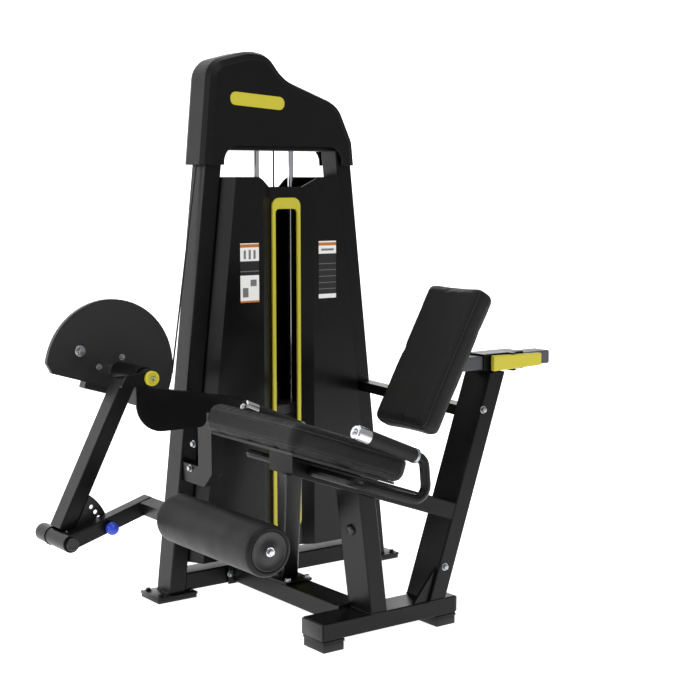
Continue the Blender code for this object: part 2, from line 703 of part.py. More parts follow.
def build_cables():
    reach = CAM_R + CABLE_R + 2 * GAP
    axis = Vector((AXIS_X, 0, AXIS_Z))
    span = Vector((CAM_PULLEY_X, 0, PULLEY_Z)) - axis
    # the run touches the cam's right rim and the pulley's left rim
    base_angle = math.atan2(span.z, span.x)
    lean = math.acos((reach + PULLEY_R) / span.length)
    angle = base_angle - lean
    out = Vector((math.cos(angle), 0, math.sin(angle)))
    start = axis + out * reach
    touch = Vector((CAM_PULLEY_X, 0, PULLEY_Z)) - out * PULLEY_R
    path = [start.lerp(touch, step / 8) for step in range(9)]
    first = math.atan2(-out.z, -out.x)
    for step in range(1, 9):
        turn = first + (math.radians(90) - first) * step / 8
        path.append(Vector((CAM_PULLEY_X + PULLEY_R * math.cos(turn), 0, PULLEY_Z + PULLEY_R * math.sin(turn))))
    for step in range(0, 9):
        turn = math.radians(90) * (1 - step / 8)
        path.append(Vector((STACK_PULLEY_X + PULLEY_R * math.cos(turn), 0, PULLEY_Z + PULLEY_R * math.sin(turn))))
    pipe("cam_cable", path, CABLE_R, CABLE, resolution=2)
    stem_top = STACK_TOP + 2 * GAP + HEAD_H + STEM_UP + GAP
    drop = [Vector((0, 0, stem_top)).lerp(Vector((0, 0, PULLEY_Z - GAP)), step / 6) for step in range(7)]
    pipe("lift_cable", drop, CABLE_R, CABLE, resolution=2)


# ---- seat frame ----------------------------------------------------------------------------
def seat_point(along, up, y=SEAT_Y):
    """A point in the seat's own directions, from the pad's lower front corner."""
    place = SEAT_CORNER + SEAT_DIR * along + SEAT_UP * up
    return Vector((place.x, y, place.z))


def build_seat_frame():
    half = FLOOR_BEAM_W / 2
    box("seat_base_beam", (FLOOR_BEAM_X0, SEAT_Y - half, FLOOR_BEAM_Z), (FLOOR_BEAM_X1, SEAT_Y + half, FLOOR_TOP),
        FRAME_PAINT, bevel=0.003)
    for name, x in (("front_base_foot", FLOOR_BEAM_X0), ("rear_base_foot", FLOOR_BEAM_X1 - BASE_FOOT_L)):
        box(name, (x, SEAT_Y - half, 0), (x + BASE_FOOT_L, SEAT_Y + half, FLOOR_BEAM_Z - GAP), RUBBER, bevel=0.002)
    y0 = SEAT_Y + half + GAP
    y1 = -(UPRIGHT_D - 0.001) / 2 - GAP
    z = FLOOR_TOP - LINK_H / 2
    rect_tube("connecting_beam", (LINK_X, y0, z), (LINK_X, y1, z), (1, 0, 0), LINK_W, LINK_H, FRAME_PAINT)

    beam_top = -BOARD_T - 2 * GAP
    beam_low = beam_top - SEAT_BEAM_T
    under = (seat_point(0, beam_low - GAP), SEAT_UP)
    lean = Vector((-math.sin(POST_LEAN), 0, math.cos(POST_LEAN)))
    foot = Vector((POST_X, SEAT_Y, FLOOR_TOP + GAP))
    rect_tube("front_post", foot, foot + lean * 0.40, ACROSS, BEAM_W, BEAM_T, FRAME_PAINT,
              planes=[(foot, (0, 0, -1)), under])

    foot = Vector((BACK_X, SEAT_Y, FLOOR_TOP + GAP))
    head = Vector((back_post_x(BACK_TOP), SEAT_Y, BACK_TOP))
    rect_tube("back_post", foot, head, ACROSS, BEAM_W, BEAM_T, FRAME_PAINT,
              planes=[(foot, (0, 0, -1)), (head, (0, 0, 1))])
    post_face = Vector((back_post_x(0.3) - BEAM_T / 2 / math.cos(BACK_LEAN) - GAP, SEAT_Y, 0.3))
    post_normal = Vector((math.cos(BACK_LEAN), 0, -math.sin(BACK_LEAN)))

    mid = beam_low + SEAT_BEAM_T / 2
    front = seat_point((SEAT_BEAM_X0 - SEAT_FRONT_X) / math.cos(SEAT_TILT), mid)
    rect_tube("seat_beam", front, front + SEAT_DIR * 0.62, ACROSS, BEAM_W, SEAT_BEAM_T, FRAME_PAINT,
              planes=[((SEAT_BEAM_X0, SEAT_Y, 0), (-1, 0, 0)), (post_face, post_normal)], closed=(0,))

    low_x = back_post_x(FLOOR_TOP) - BEAM_T / 2 / math.cos(BACK_LEAN) - 2 * GAP
    high_x = low_x + math.tan(BACK_LEAN) * GUSSET_H
    y = SEAT_Y - FLOOR_BEAM_W / 2 + 0.004
    slab("back_post_gusset", [(low_x - GUSSET_L, FLOOR_TOP + GAP), (low_x, FLOOR_TOP + GAP),
                              (high_x, FLOOR_TOP + GAP + GUSSET_H)], y, y + GUSSET_T, "XZ", FRAME_PAINT)

    top = Vector((STRUT_TOP_X, SEAT_Y, 0))
    offset = (STRUT_TOP_X - SEAT_FRONT_X) / math.cos(SEAT_TILT)
    top.z = seat_point(offset, beam_low).z
    foot = Vector((STRUT_FOOT_X, STRUT_FOOT_Y, FLOOR_TOP + GAP))
    rect_tube("front_strut", foot, top, (1, 0, 0), STRUT_W, STRUT_W, FRAME_PAINT,
              planes=[(foot, (0, 0, -1)), under])

    bm = bmesh.new()
    post_side = SEAT_Y + BEAM_W / 2 + GAP
    tower_side = -UPRIGHT_D / 2 - GAP
    round_box(bm, (CROSS_BEAM_W, tower_side - post_side, CROSS_BEAM_H))
    for vert in bm.verts:
        at_post = vert.co.y < 0
        vert.co.x += back_post_x(CROSS_BEAM_Z) if at_post else upright_x(CROSS_BEAM_Z)
        vert.co.y += (tower_side + post_side) / 2
        vert.co.z += CROSS_BEAM_Z
    finish("upper_cross_beam", bm, FRAME_PAINT, (back_post_x(CROSS_BEAM_Z), post_side, CROSS_BEAM_Z))


def tilted_box(name, size, centre, x_axis, z_axis, finish_material, bevel, segments=3):
    bm = bmesh.new()
    round_box(bm, size, bevel, segments)
    y_axis = z_axis.cross(x_axis)
    turn = Matrix((x_axis, y_axis, z_axis)).transposed().to_4x4()
    bmesh.ops.transform(bm, matrix=Matrix.Translation(centre) @ turn, verts=bm.verts)
    return finish(name, bm, finish_material, centre)


def build_seat():
    board_in = 0.022
    tilted_box("seat_board", (PAD_L - 2 * board_in, PAD_W - 2 * board_in, BOARD_T),
               seat_point(PAD_L / 2, -BOARD_T / 2 - GAP), SEAT_DIR, SEAT_UP, STEEL, 0.0)
    tilted_box("seat_pad", (PAD_L, PAD_W, PAD_T), seat_point(PAD_L / 2, PAD_T / 2), SEAT_DIR, SEAT_UP,
               VINYL, 0.022)


def build_handles():
    for side, sign in (("near", -1), ("far", 1)):
        y = SEAT_Y + sign * HANDLE_HALF
        root_y = SEAT_Y + sign * (BEAM_W / 2 + GAP)
        tip = Vector((GRIP_FRONT[0], y, GRIP_FRONT[1]))
        rear = Vector((GRIP_REAR[0], y, GRIP_REAR[1]))
        grip_dir = (tip - rear).normalized()
        path = bent_path([(HANDLE_ROOT[0], root_y, HANDLE_ROOT[1]), (HANDLE_ROOT[0], y, HANDLE_ROOT[1]),
                          (HANDLE_LOW[0], y, HANDLE_LOW[1]), rear - grip_dir * 0.013,
                          tip - grip_dir * 0.006], HANDLE_BEND)
        pipe(side + "_handle", path, HANDLE_R, FRAME_PAINT)
        profile = [(0, 0.0), (GRIP_R - 0.003, 0.0), (GRIP_R, -0.003), (GRIP_R, -GRIP_L),
                   (HANDLE_R + 2 * GAP, -GRIP_L), (HANDLE_R + 2 * GAP, -0.0055), (0, -0.0055)]
        turned(side + "_grip", profile, tip, grip_dir, RUBBER, steps=32)


def build_backrest():
    centre = BACK_FACE + BACK_OUT * (BACK_T / 2)
    tilted_box("backrest_pad", (BACK_T, BACK_W, BACK_L), centre, BACK_OUT, BACK_UP, VINYL, 0.022)
    plate_middle = Vector((0, SEAT_Y, SLIDER_Z))
    back_plane = BACK_FACE + BACK_OUT * (BACK_T + GAP + BACK_PLATE_T / 2)
    run = (SLIDER_Z - back_plane.z) / BACK_UP.z
    plate_middle.x = back_plane.x + BACK_UP.x * run
    tilted_box("backrest_plate", (BACK_PLATE_T, BACK_PLATE_W, BACK_PLATE_L), plate_middle, BACK_OUT, BACK_UP,
               STEEL, 0.0)
    face = plate_middle + BACK_OUT * (BACK_PLATE_T / 2 + GAP)
    end = Vector((SLIDER_X1, SEAT_Y, SLIDER_Z))
    start = Vector((face.x, SEAT_Y, SLIDER_Z))
    rect_tube("slider_tube", start, end, ACROSS, SLIDER_W, SLIDER_H, SATIN,
              planes=[(face, -BACK_OUT), (end, (1, 0, 0))], closed=(1,))
    play = 2 * SLIDE_PLAY
    wide = SLIDER_W + play + 2 * SLEEVE_T
    thick = SLIDER_H + play + 2 * SLEEVE_T
    rect_tube("slider_sleeve", (SLEEVE_X0, SEAT_Y, SLIDER_Z), (SLEEVE_X1, SEAT_Y, SLIDER_Z), ACROSS, wide, thick,
              FRAME_PAINT, wall=SLEEVE_T)
    sleeve = bpy.data.objects["slider_sleeve"]
    side = SEAT_Y - wide / 2
    y = side - LEVER_GAP - LEVER_T / 2
    for place, low, high in (("top", LEVER_H / 2 - 0.0005, thick / 2), ("low", -thick / 2, 0.0005 - LEVER_H / 2)):
        ear = box("sleeve_ear_" + place, (LEVER_PIN_X - EAR_HALF, y - EAR_HALF, SLIDER_Z + low),
                  (LEVER_PIN_X + EAR_HALF, side + SLEEVE_T / 2, SLIDER_Z + high), None, collection=CUTTERS)
        combine(sleeve, ear, "UNION")
    bm = bmesh.new()
    round_box(bm, (LEVER_X1 - LEVER_X0, LEVER_T, LEVER_H), 0.003)
    middle = (LEVER_X0 + LEVER_X1) / 2
    for vert in bm.verts:
        share = vert.co.x / (LEVER_X1 - LEVER_X0) + 0.5
        vert.co.z *= 1 + (LEVER_H_END / LEVER_H - 1) * share
    bmesh.ops.translate(bm, vec=(middle, y, SLIDER_Z), verts=bm.verts)
    finish("release_lever", bm, TRIM, (LEVER_PIN_X, y, SLIDER_Z))


# ---- pivot ---------------------------------------------------------------------------------
def build_pivot():
    x0, x1 = PIVOT_BEAM_X0, PIVOT_BEAM_X1
    drop = PIVOT_BEAM_H / 2 / math.cos(BEAM_SLOPE)
    y = (PIVOT_BEAM_Y0 + PIVOT_BEAM_Y1) / 2
    start = Vector((x0, y, pivot_beam_top(x0) - drop))
    end = Vector((x1, y, pivot_beam_top(x1) - drop))
    rect_tube("pivot_beam", start, end, ACROSS, PIVOT_BEAM_Y1 - PIVOT_BEAM_Y0, PIVOT_BEAM_H, FRAME_PAINT,
              planes=[(start, (-1, 0, 0)), (end, (1, 0, 0))], closed=(0,))
    housing = cylinder("bearing_housing", HOUSING_R, (AXIS_X, HOUSING_Y0, AXIS_Z), (AXIS_X, HOUSING_Y1, AXIS_Z),
                       FRAME_PAINT, segments=40)
    bore = cylinder("housing_bore", SHAFT_R + SHAFT_PLAY, (AXIS_X, HOUSING_Y0 - 0.01, AXIS_Z),
                    (AXIS_X, HOUSING_Y1 + 0.01, AXIS_Z), None, CUTTERS, 40)
    combine(housing, bore)

    outline = rounded([(x0, GUARD_Z0), (x0, pivot_beam_top(x0)), (GUARD_X1, pivot_beam_top(GUARD_X1)),
                       (GUARD_X1, GUARD_Z0)], [GUARD_R, 0.003, 0.003, 0.020], steps=12)
    face = PIVOT_BEAM_Y0 - GAP
    slab("guard_plate", outline, face - GUARD_T, face, "XZ", FRAME_PAINT)

    def beam_under(x):
        return pivot_beam_top(x) - 2 * drop - GAP
    wall = -UPRIGHT_D / 2 - GAP
    outline = [(wall, BRACKET_Z0), (BRACKET_Y0 + BRACKET_CUT, BRACKET_Z0), (BRACKET_Y0, BRACKET_Z0 + BRACKET_CUT),
               (BRACKET_Y0, 0.7), (BRACKET_Y1, 0.7), (BRACKET_Y1, BRACKET_Z1), (wall, BRACKET_Z1)]
    bracket = slab("pivot_bracket", outline, BRACKET_X0, BRACKET_X1, "YZ", FRAME_PAINT)
    top = slab("bracket_top_cut", [(-0.45, beam_under(-0.45)), (-0.2, beam_under(-0.2)), (-0.2, 0.8), (-0.45, 0.8)],
               -0.3, 0.0, "XZ", None, CUTTERS)
    combine(bracket, top)


# ---- cam, shaft and swing arm ----------------------------------------------------------------
AXIS = Vector((AXIS_X, 0, AXIS_Z))
FOOT = Vector((ARM_FOOT[0], 0, ARM_FOOT[1]))
ARM_DIR = (Vector((ARM_TOP[0], 0, ARM_TOP[1])) - FOOT).normalized()
ROLLER = Vector((ROLLER_X, 0, ROLLER_Z))
ROLLER_DIR = (ROLLER - FOOT).normalized()


def cam_outline():
    """Most of a disc, cut by a chord under the axis, with round corners."""
    turn = Matrix.Rotation(-CAM_TURN, 2)
    spread = math.asin(CAM_CHORD / CAM_R)
    start, end = -spread + math.radians(7), math.pi + spread - math.radians(7)
    points = []
    for step in range(49):
        angle = start + (end - start) * step / 48
        points.append(Vector((math.cos(angle), math.sin(angle))) * CAM_R)
    chord = math.sqrt(CAM_R ** 2 - CAM_CHORD ** 2) - CAM_CORNER
    points.append(Vector((-chord, -CAM_CHORD)))
    points.append(Vector((chord, -CAM_CHORD)))
    return [turn @ point + Vector((AXIS_X, AXIS_Z)) for point in points]


def shaft_bore(target, name):
    bore = cylinder(name, SHAFT_R + GAP, (AXIS_X, -0.3, AXIS_Z), (AXIS_X, 0.05, AXIS_Z), None, CUTTERS, 40)
    combine(target, bore)


def build_arm():
    half = CAM_T / 2
    cam = slab("cam", cam_outline(), -half, half, "XZ", STEEL, origin=AXIS)
    shaft_bore(cam, "cam_bore")
    cylinder("pivot_shaft", SHAFT_R, (AXIS_X, half + 0.005, AXIS_Z),
             (AXIS_X, ARM_Y - ARM_W / 2 - GAP - LINK_T, AXIS_Z), CHROME, segments=40, origin=AXIS)

    # counterweight bolted on the tower side of the cam, along its cut edge
    along = Vector((math.cos(CAM_TURN), 0, -math.sin(CAM_TURN)))
    up = Vector((math.sin(CAM_TURN), 0, math.cos(CAM_TURN)))
    centre = AXIS - up * (SHAFT_R + 0.004 + WEIGHT_H / 2) + along * 0.004
    centre.y = half + GAP + WEIGHT_T / 2
    tilted_box("counterweight", (WEIGHT_L, WEIGHT_T, WEIGHT_H), centre, along, up, STEEL, 0.002, 1)

    y = ARM_Y
    face = ARM_Y - ARM_W / 2 - GAP
    foot = FOOT + ARM_DIR * (LOWER_R + GAP)
    foot.y = y
    head = Vector((ARM_TOP[0], y, ARM_TOP_Z))
    start = FOOT.copy()
    start.y = y
    rect_tube("swing_arm", foot, start + ARM_DIR * (ARM_TOP_Z - FOOT.z) / ARM_DIR.z, ACROSS, ARM_W, ARM_T,
              FRAME_PAINT, planes=[(foot, -ARM_DIR), (head, (0, 0, 1))], closed=(1,))

    link = slab("arm_link", rounded([(AXIS_X - 0.086, AXIS_Z - LINK_HALF), (AXIS_X - 0.068, AXIS_Z + 0.009),
                                     (AXIS_X + 0.02, AXIS_Z + LINK_HALF), (AXIS_X + 0.02, AXIS_Z - LINK_HALF)],
                                    [0.004, 0.004, 0.014, 0.014]), face - LINK_T, face, "XZ", FRAME_PAINT, origin=AXIS)
    guard_face = PIVOT_BEAM_Y0 - GAP - GUARD_T
    hub = cylinder("arm_hub", HUB_R, (AXIS_X, guard_face - 0.001, AXIS_Z), (AXIS_X, face - LINK_T + GAP, AXIS_Z),
                   None, CUTTERS, 40)
    combine(link, hub, "UNION")
    shaft_bore(link, "hub_bore")
    cap_face = face - LINK_T - GAP
    profile = [(0, CAP_T), (CAP_R - 0.003, CAP_T), (CAP_R, CAP_T - 0.003), (CAP_R, 0), (0, 0)]
    turned("shaft_cap", profile, (AXIS_X, cap_face, AXIS_Z), (0, -1, 0), TRIM, steps=32, origin=AXIS)

    lower = cylinder("lower_pivot_tube", LOWER_R, (FOOT.x, ARM_Y - ARM_W / 2, FOOT.z), (FOOT.x, LOWER_Y1, FOOT.z),
                     FRAME_PAINT, segments=36)
    bore = cylinder("lower_bore", SPINDLE_R + SHAFT_PLAY, (FOOT.x, -0.4, FOOT.z), (FOOT.x, 0, FOOT.z), None,
                    CUTTERS, 28)
    combine(lower, bore)
    build_sector()
    build_roller_arm(bore)


def build_sector():
    """The holed plate beside the arm's foot that the pull pin engages."""
    side = Vector((ARM_DIR.z, 0, -ARM_DIR.x))
    clear = ARM_T / 2 + GAP
    arm_angle = math.atan2(ARM_DIR.z, ARM_DIR.x)
    first = arm_angle - math.asin(clear / SECTOR_R)
    points = []
    for step in range(17):
        angle = first + (SECTOR_LOW - first) * step / 16
        points.append((FOOT.x + SECTOR_R * math.cos(angle), FOOT.z + SECTOR_R * math.sin(angle)))
    inner = LOWER_R + GAP
    low = FOOT + Vector((math.cos(SECTOR_LOW), 0, math.sin(SECTOR_LOW))) * (inner + 0.012)
    points.append((low.x, low.z))
    corner = FOOT + side * clear + ARM_DIR * (inner + 0.004)
    points.append((corner.x, corner.z))
    rear = ARM_Y - ARM_W / 2 + 0.0005
    plate = slab("selector_sector", points, rear, rear + SECTOR_T, "XZ", STEEL)
    now = math.atan2(ROLLER_DIR.z, ROLLER_DIR.x) - PIN_DROP
    for index in range(HOLE_COUNT):
        angle = now + HOLE_STEP * index
        x = FOOT.x + HOLE_RING * math.cos(angle)
        z = FOOT.z + HOLE_RING * math.sin(angle)
        hole = cylinder("sector_hole_%d" % index, HOLE_R, (x, rear - 0.01, z), (x, rear + 0.02, z), None, CUTTERS, 16)
        combine(plate, hole)


def build_roller_arm(bore):
    y = ROLLER_ARM_Y
    half = ROLLER_ARM_T / 2
    side = Vector((-ROLLER_DIR.z, 0, ROLLER_DIR.x))
    length = (ROLLER - FOOT).length
    bm = bmesh.new()
    round_box(bm, (length + ROLLER_ARM_H / 2, ROLLER_ARM_T, ROLLER_ARM_H), 0.003)
    middle = FOOT + ROLLER_DIR * (length + ROLLER_ARM_H / 2) / 2
    middle.y = y
    turn = Matrix((ROLLER_DIR, Vector((0, 1, 0)), side)).transposed().to_4x4()
    bmesh.ops.transform(bm, matrix=Matrix.Translation(middle) @ turn, verts=bm.verts)
    arm = finish("roller_arm", bm, FRAME_PAINT, (FOOT.x, y, FOOT.z))
    hub = cylinder("roller_arm_hub", LOWER_R, (FOOT.x, y - half - 0.002, FOOT.z),
                   (FOOT.x, ARM_Y - ARM_W / 2 - GAP, FOOT.z), None, CUTTERS, 36)
    combine(arm, hub, "UNION")
    far = SEAT_Y + ROLLER_L / 2
    bm = bmesh.new()
    run = (y - half / 2) - (far + 0.0015)
    round_box(bm, (ROLLER_ARM_H - 0.003, run, ROLLER_ARM_H - 0.003))
    turn = Matrix((ROLLER_DIR, Vector((0, 1, 0)), side)).transposed().to_4x4()
    place = Vector((ROLLER.x, far + 0.0015 + run / 2, ROLLER.z))
    bmesh.ops.transform(bm, matrix=Matrix.Translation(place) @ turn, verts=bm.verts)
    leg = finish("roller_arm_leg", bm, None, place, CUTTERS)
    combine(arm, leg, "UNION")
    combine(arm, bore)
    angle = math.atan2(ROLLER_DIR.z, ROLLER_DIR.x) - PIN_DROP
    x = FOOT.x + HOLE_RING * math.cos(angle)
    z = FOOT.z + HOLE_RING * math.sin(angle)
    guide = cylinder("pull_pin_guide", KNOB_PIN_R + 0.0006, (x, y - 0.1, z), (x, y + 0.1, z), None, CUTTERS, 20)
    combine(arm, guide)
    cylinder("roller_arm_pin", SPINDLE_R, (FOOT.x, y - half - 0.002 - 0.004, FOOT.z), (FOOT.x, LOWER_Y1 + 0.004, FOOT.z),
             CHROME, segments=28)

    near = SEAT_Y - ROLLER_L / 2
    length = far + 0.0012 - near
    head = length + 0.001 + BOLT_T
    profile = [(0, 0), (SPINDLE_R, 0), (SPINDLE_R, length + 0.001), (BOLT_R + 0.004, length + 0.001),
               (BOLT_R + 0.004, length + 0.003), (BOLT_R, length + 0.003), (BOLT_R, head - 0.003),
               (BOLT_R - 0.003, head), (0, head)]
    turned("roller_spindle", profile, (ROLLER.x, far + 0.0012, ROLLER.z), (0, -1, 0), CHROME, steps=28)
    profile = [(SPINDLE_R + ROLLER_PLAY, 0), (ROLLER_R - 0.008, 0), (ROLLER_R - 0.0023, -0.0023),
               (ROLLER_R, -0.008), (ROLLER_R, 0.008 - ROLLER_L), (ROLLER_R - 0.0023, 0.0023 - ROLLER_L),
               (ROLLER_R - 0.008, -ROLLER_L), (SPINDLE_R + ROLLER_PLAY, -ROLLER_L),
               (SPINDLE_R + ROLLER_PLAY, 0)]
    turned("roller_pad", profile, (ROLLER.x, near, ROLLER.z), (0, -1, 0), VINYL, steps=48,
           origin=(ROLLER.x, SEAT_Y, ROLLER.z))
    tip = ARM_Y - ARM_W / 2 - 0.0012
    knob = y - half - 0.004
    profile = [(0, 0), (KNOB_PIN_R, 0), (KNOB_PIN_R, tip - knob), (KNOB_R - 0.004, tip - knob),
               (KNOB_R, tip - knob + 0.004), (KNOB_R, tip - knob + KNOB_L - 0.005),
               (KNOB_R - 0.005, tip - knob + KNOB_L), (0, tip - knob + KNOB_L)]
    turned("pull_pin", profile, (x, tip, z), (0, -1, 0), BLUE, steps=28)


def centre_machine():
    """Put the origin at the bottom centre of everything that was built."""
    graph = bpy.context.evaluated_depsgraph_get()
    low = Vector((1e9, 1e9, 1e9))
    high = -low
    for item in PARTS.objects:
        if item.type == "EMPTY":
            continue
        shape = item.evaluated_get(graph)
        mesh = shape.to_mesh()
        for vert in mesh.vertices:
            place = shape.matrix_world @ vert.co
            for axis in range(3):
                low[axis] = min(low[axis], place[axis])
                high[axis] = max(high[axis], place[axis])
        shape.to_mesh_clear()
    MACHINE.location = (-(low.x + high.x) / 2, -(low.y + high.y) / 2, -low.z)
    bpy.context.view_layer.update()


build_tower()
build_pulleys()
build_cover()
build_shrouds()
build_stack()
build_cables()
build_seat_frame()
build_seat()
build_handles()
build_backrest()
build_pivot()
build_arm()
centre_machine()
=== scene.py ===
# %% [markdown]
# # A leg extension machine
# A gym machine: a weight tower, a tilted seat beside it, and a swing arm with a padded roller.
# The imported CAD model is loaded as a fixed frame. Steel tubes keep their CAD shape and get a
# real finish; the cushions, foam, hardware and plastic trim are modelled here in more detail.

# %% Load the frame
import json
import math

import bmesh
import bpy
from mathutils import Matrix, Vector, noise

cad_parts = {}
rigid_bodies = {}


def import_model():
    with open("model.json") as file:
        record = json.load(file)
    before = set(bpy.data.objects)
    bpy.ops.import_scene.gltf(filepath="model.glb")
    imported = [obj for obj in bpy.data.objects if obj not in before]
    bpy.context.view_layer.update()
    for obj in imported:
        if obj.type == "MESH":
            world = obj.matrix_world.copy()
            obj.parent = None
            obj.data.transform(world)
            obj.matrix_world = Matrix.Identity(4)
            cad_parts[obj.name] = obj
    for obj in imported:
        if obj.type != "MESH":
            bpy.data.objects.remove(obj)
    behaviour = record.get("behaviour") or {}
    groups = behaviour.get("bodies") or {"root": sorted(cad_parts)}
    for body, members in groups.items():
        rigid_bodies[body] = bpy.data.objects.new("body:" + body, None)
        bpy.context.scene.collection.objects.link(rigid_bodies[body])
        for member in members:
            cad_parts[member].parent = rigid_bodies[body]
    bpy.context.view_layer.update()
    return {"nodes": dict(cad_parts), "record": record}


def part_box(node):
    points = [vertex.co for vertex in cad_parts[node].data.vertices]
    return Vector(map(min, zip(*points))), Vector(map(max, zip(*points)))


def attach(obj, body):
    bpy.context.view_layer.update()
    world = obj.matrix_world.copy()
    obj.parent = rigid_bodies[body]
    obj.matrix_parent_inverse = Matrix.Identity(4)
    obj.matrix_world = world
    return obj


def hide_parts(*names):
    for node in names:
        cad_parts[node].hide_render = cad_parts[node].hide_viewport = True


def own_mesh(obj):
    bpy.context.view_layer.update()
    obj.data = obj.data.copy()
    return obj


for old in list(bpy.data.objects):
    bpy.data.objects.remove(old, do_unlink=True)
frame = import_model()
nodes = frame["nodes"]

# %% [markdown]
# ## Camera
# A long lens a few metres away, at chest height, looks slightly down on the machine from the
# roller's side, so both the tower's front and the left-hand faces of the tubes show.

# %% Camera
VIEW_AZIMUTH, VIEW_PITCH = math.radians(36.43), math.radians(6.77)
VIEW_FROM, LENS_MM, SENSOR_MM = (-2.125, -3.0713, 1.1613), 74.55, 36
camera = bpy.data.objects.new("camera", bpy.data.cameras.new("camera"))
bpy.context.scene.collection.objects.link(camera)
camera.location = VIEW_FROM
camera.rotation_euler = (math.pi / 2 - VIEW_PITCH, 0, -VIEW_AZIMUTH)
camera.data.lens = LENS_MM
camera.data.sensor_width = SENSOR_MM
bpy.context.scene.camera = camera

# %% [markdown]
# ## Studio
# A pale floor that curves up into a wall, one large soft light on the left and weaker ones
# above and in front. The paper glows a little itself, as a lit light table does, which keeps
# it white without grey shadows. Black paint only shows what it reflects, so the glow fades
# out in front of the machine: the tubes' left faces stay light and their fronts deep.


# %% Linear colours and one function that adds a node
def linear(code):
    """An sRGB hex colour as the linear RGBA that Blender's sockets expect."""
    parts = [int(code[i:i + 2], 16) / 255 for i in (1, 3, 5)]
    return (*[p / 12.92 if p <= 0.04045 else ((p + 0.055) / 1.055) ** 2.4 for p in parts], 1)


def add(tree, kind, inputs=None, **settings):
    """Adds a node, sets its properties, and sets or links its inputs."""
    node = tree.nodes.new(kind)
    for name, value in settings.items():
        setattr(node, name, value)
    for name, value in (inputs or {}).items():
        socket = node.inputs[name]
        if isinstance(value, bpy.types.NodeSocket):
            tree.links.new(value, socket)
        else:
            socket.default_value = value
    return node


# %% Floor and wall
FLOOR_REACH, FLOOR_FRONT, FLOOR_Z = 9.0, -8, -0.001
WALL_BACK, WALL_UP, SWEEP_RADIUS, SWEEP_STEPS = 6.0, 7.0, 1.5, 8
outline = [(FLOOR_FRONT, FLOOR_Z), (WALL_BACK - SWEEP_RADIUS, FLOOR_Z)]
for step in range(1, SWEEP_STEPS + 1):
    turn = math.radians(90) * step / SWEEP_STEPS
    outline.append((WALL_BACK - SWEEP_RADIUS + SWEEP_RADIUS * math.sin(turn),
                    SWEEP_RADIUS * (1 - math.cos(turn))))
outline.append((WALL_BACK, WALL_UP))
backdrop = bmesh.new()
line = [backdrop.verts.new((-FLOOR_REACH, y, z)) for y, z in outline]
edges = [backdrop.edges.new(pair) for pair in zip(line, line[1:])]
swept = bmesh.ops.extrude_edge_only(backdrop, edges=edges)
bmesh.ops.translate(backdrop, vec=(2 * FLOOR_REACH, 0, 0),
                    verts=[v for v in swept["geom"] if isinstance(v, bmesh.types.BMVert)])
mesh = bpy.data.meshes.new("studio_sweep")
backdrop.to_mesh(mesh)
backdrop.free()
mesh.shade_smooth()
sweep = bpy.data.objects.new("studio_sweep", mesh)
bpy.context.scene.collection.objects.link(sweep)

# %% Paper that glows more towards the back
GLOW_FROM, GLOW_TO, GLOW_LEAST, GLOW_MOST = -2.4, -1.2, 0.20, 0.95
white = bpy.data.materials.new("matt_white_paper")
white.use_nodes = True
paper = white.node_tree.nodes["Principled BSDF"]
paper.inputs["Base Color"].default_value = linear("#f4f4f4")
paper.inputs["Roughness"].default_value = 0.9
paper.inputs["Specular IOR Level"].default_value = 0.0
paper.inputs["Emission Color"].default_value = linear("#ffffff")
spot = add(white.node_tree, "ShaderNodeTexCoord")
depth = add(white.node_tree, "ShaderNodeSeparateXYZ", {"Vector": spot.outputs["Object"]})
glow = add(white.node_tree, "ShaderNodeMapRange",
           {"Value": depth.outputs["Y"], "From Min": GLOW_FROM, "From Max": GLOW_TO,
            "To Min": GLOW_LEAST, "To Max": GLOW_MOST}, interpolation_type="SMOOTHSTEP")
white.node_tree.links.new(glow.outputs["Result"], paper.inputs["Emission Strength"])
mesh.materials.append(white)


# %% Lights
def soft_light(name, place, target, size, watts):
    """A rectangular area light at a place, aimed at a target."""
    light = bpy.data.lights.new(name, "AREA")
    light.shape = "RECTANGLE"
    light.size, light.size_y = size
    light.energy = watts
    made = bpy.data.objects.new(name, light)
    made.location = place
    made.rotation_euler = (Vector(target) - Vector(place)).to_track_quat("-Z", "Y").to_euler()
    bpy.context.scene.collection.objects.link(made)
    return made


soft_light("left_softbox", (-4.2, 0.6, 1.6), (0, 0, 0.7), (3.0, 3.0), 30)
soft_light("overhead_softbox", (0.0, 0.4, 4.5), (0, 0, 0), (4.0, 4.0), 45)
soft_light("front_fill", (-1.0, -3.6, 4.6), (0, 0, 0.7), (2.5, 2.0), 75)
world = bpy.data.worlds.new("studio_air")
bpy.context.scene.world = world
world.use_nodes = True
world.node_tree.nodes["Background"].inputs["Color"].default_value = linear("#ffffff")
world.node_tree.nodes["Background"].inputs["Strength"].default_value = 0.40
bpy.context.scene.view_settings.view_transform = "Standard"

# %% [markdown]
# ## Finishes
# Nearly everything is black, so the finishes differ by gloss and by texture: powder-coated
# tube, glossy sheet, grained vinyl, foam-backed vinyl, moulded rubber and a few bright parts.


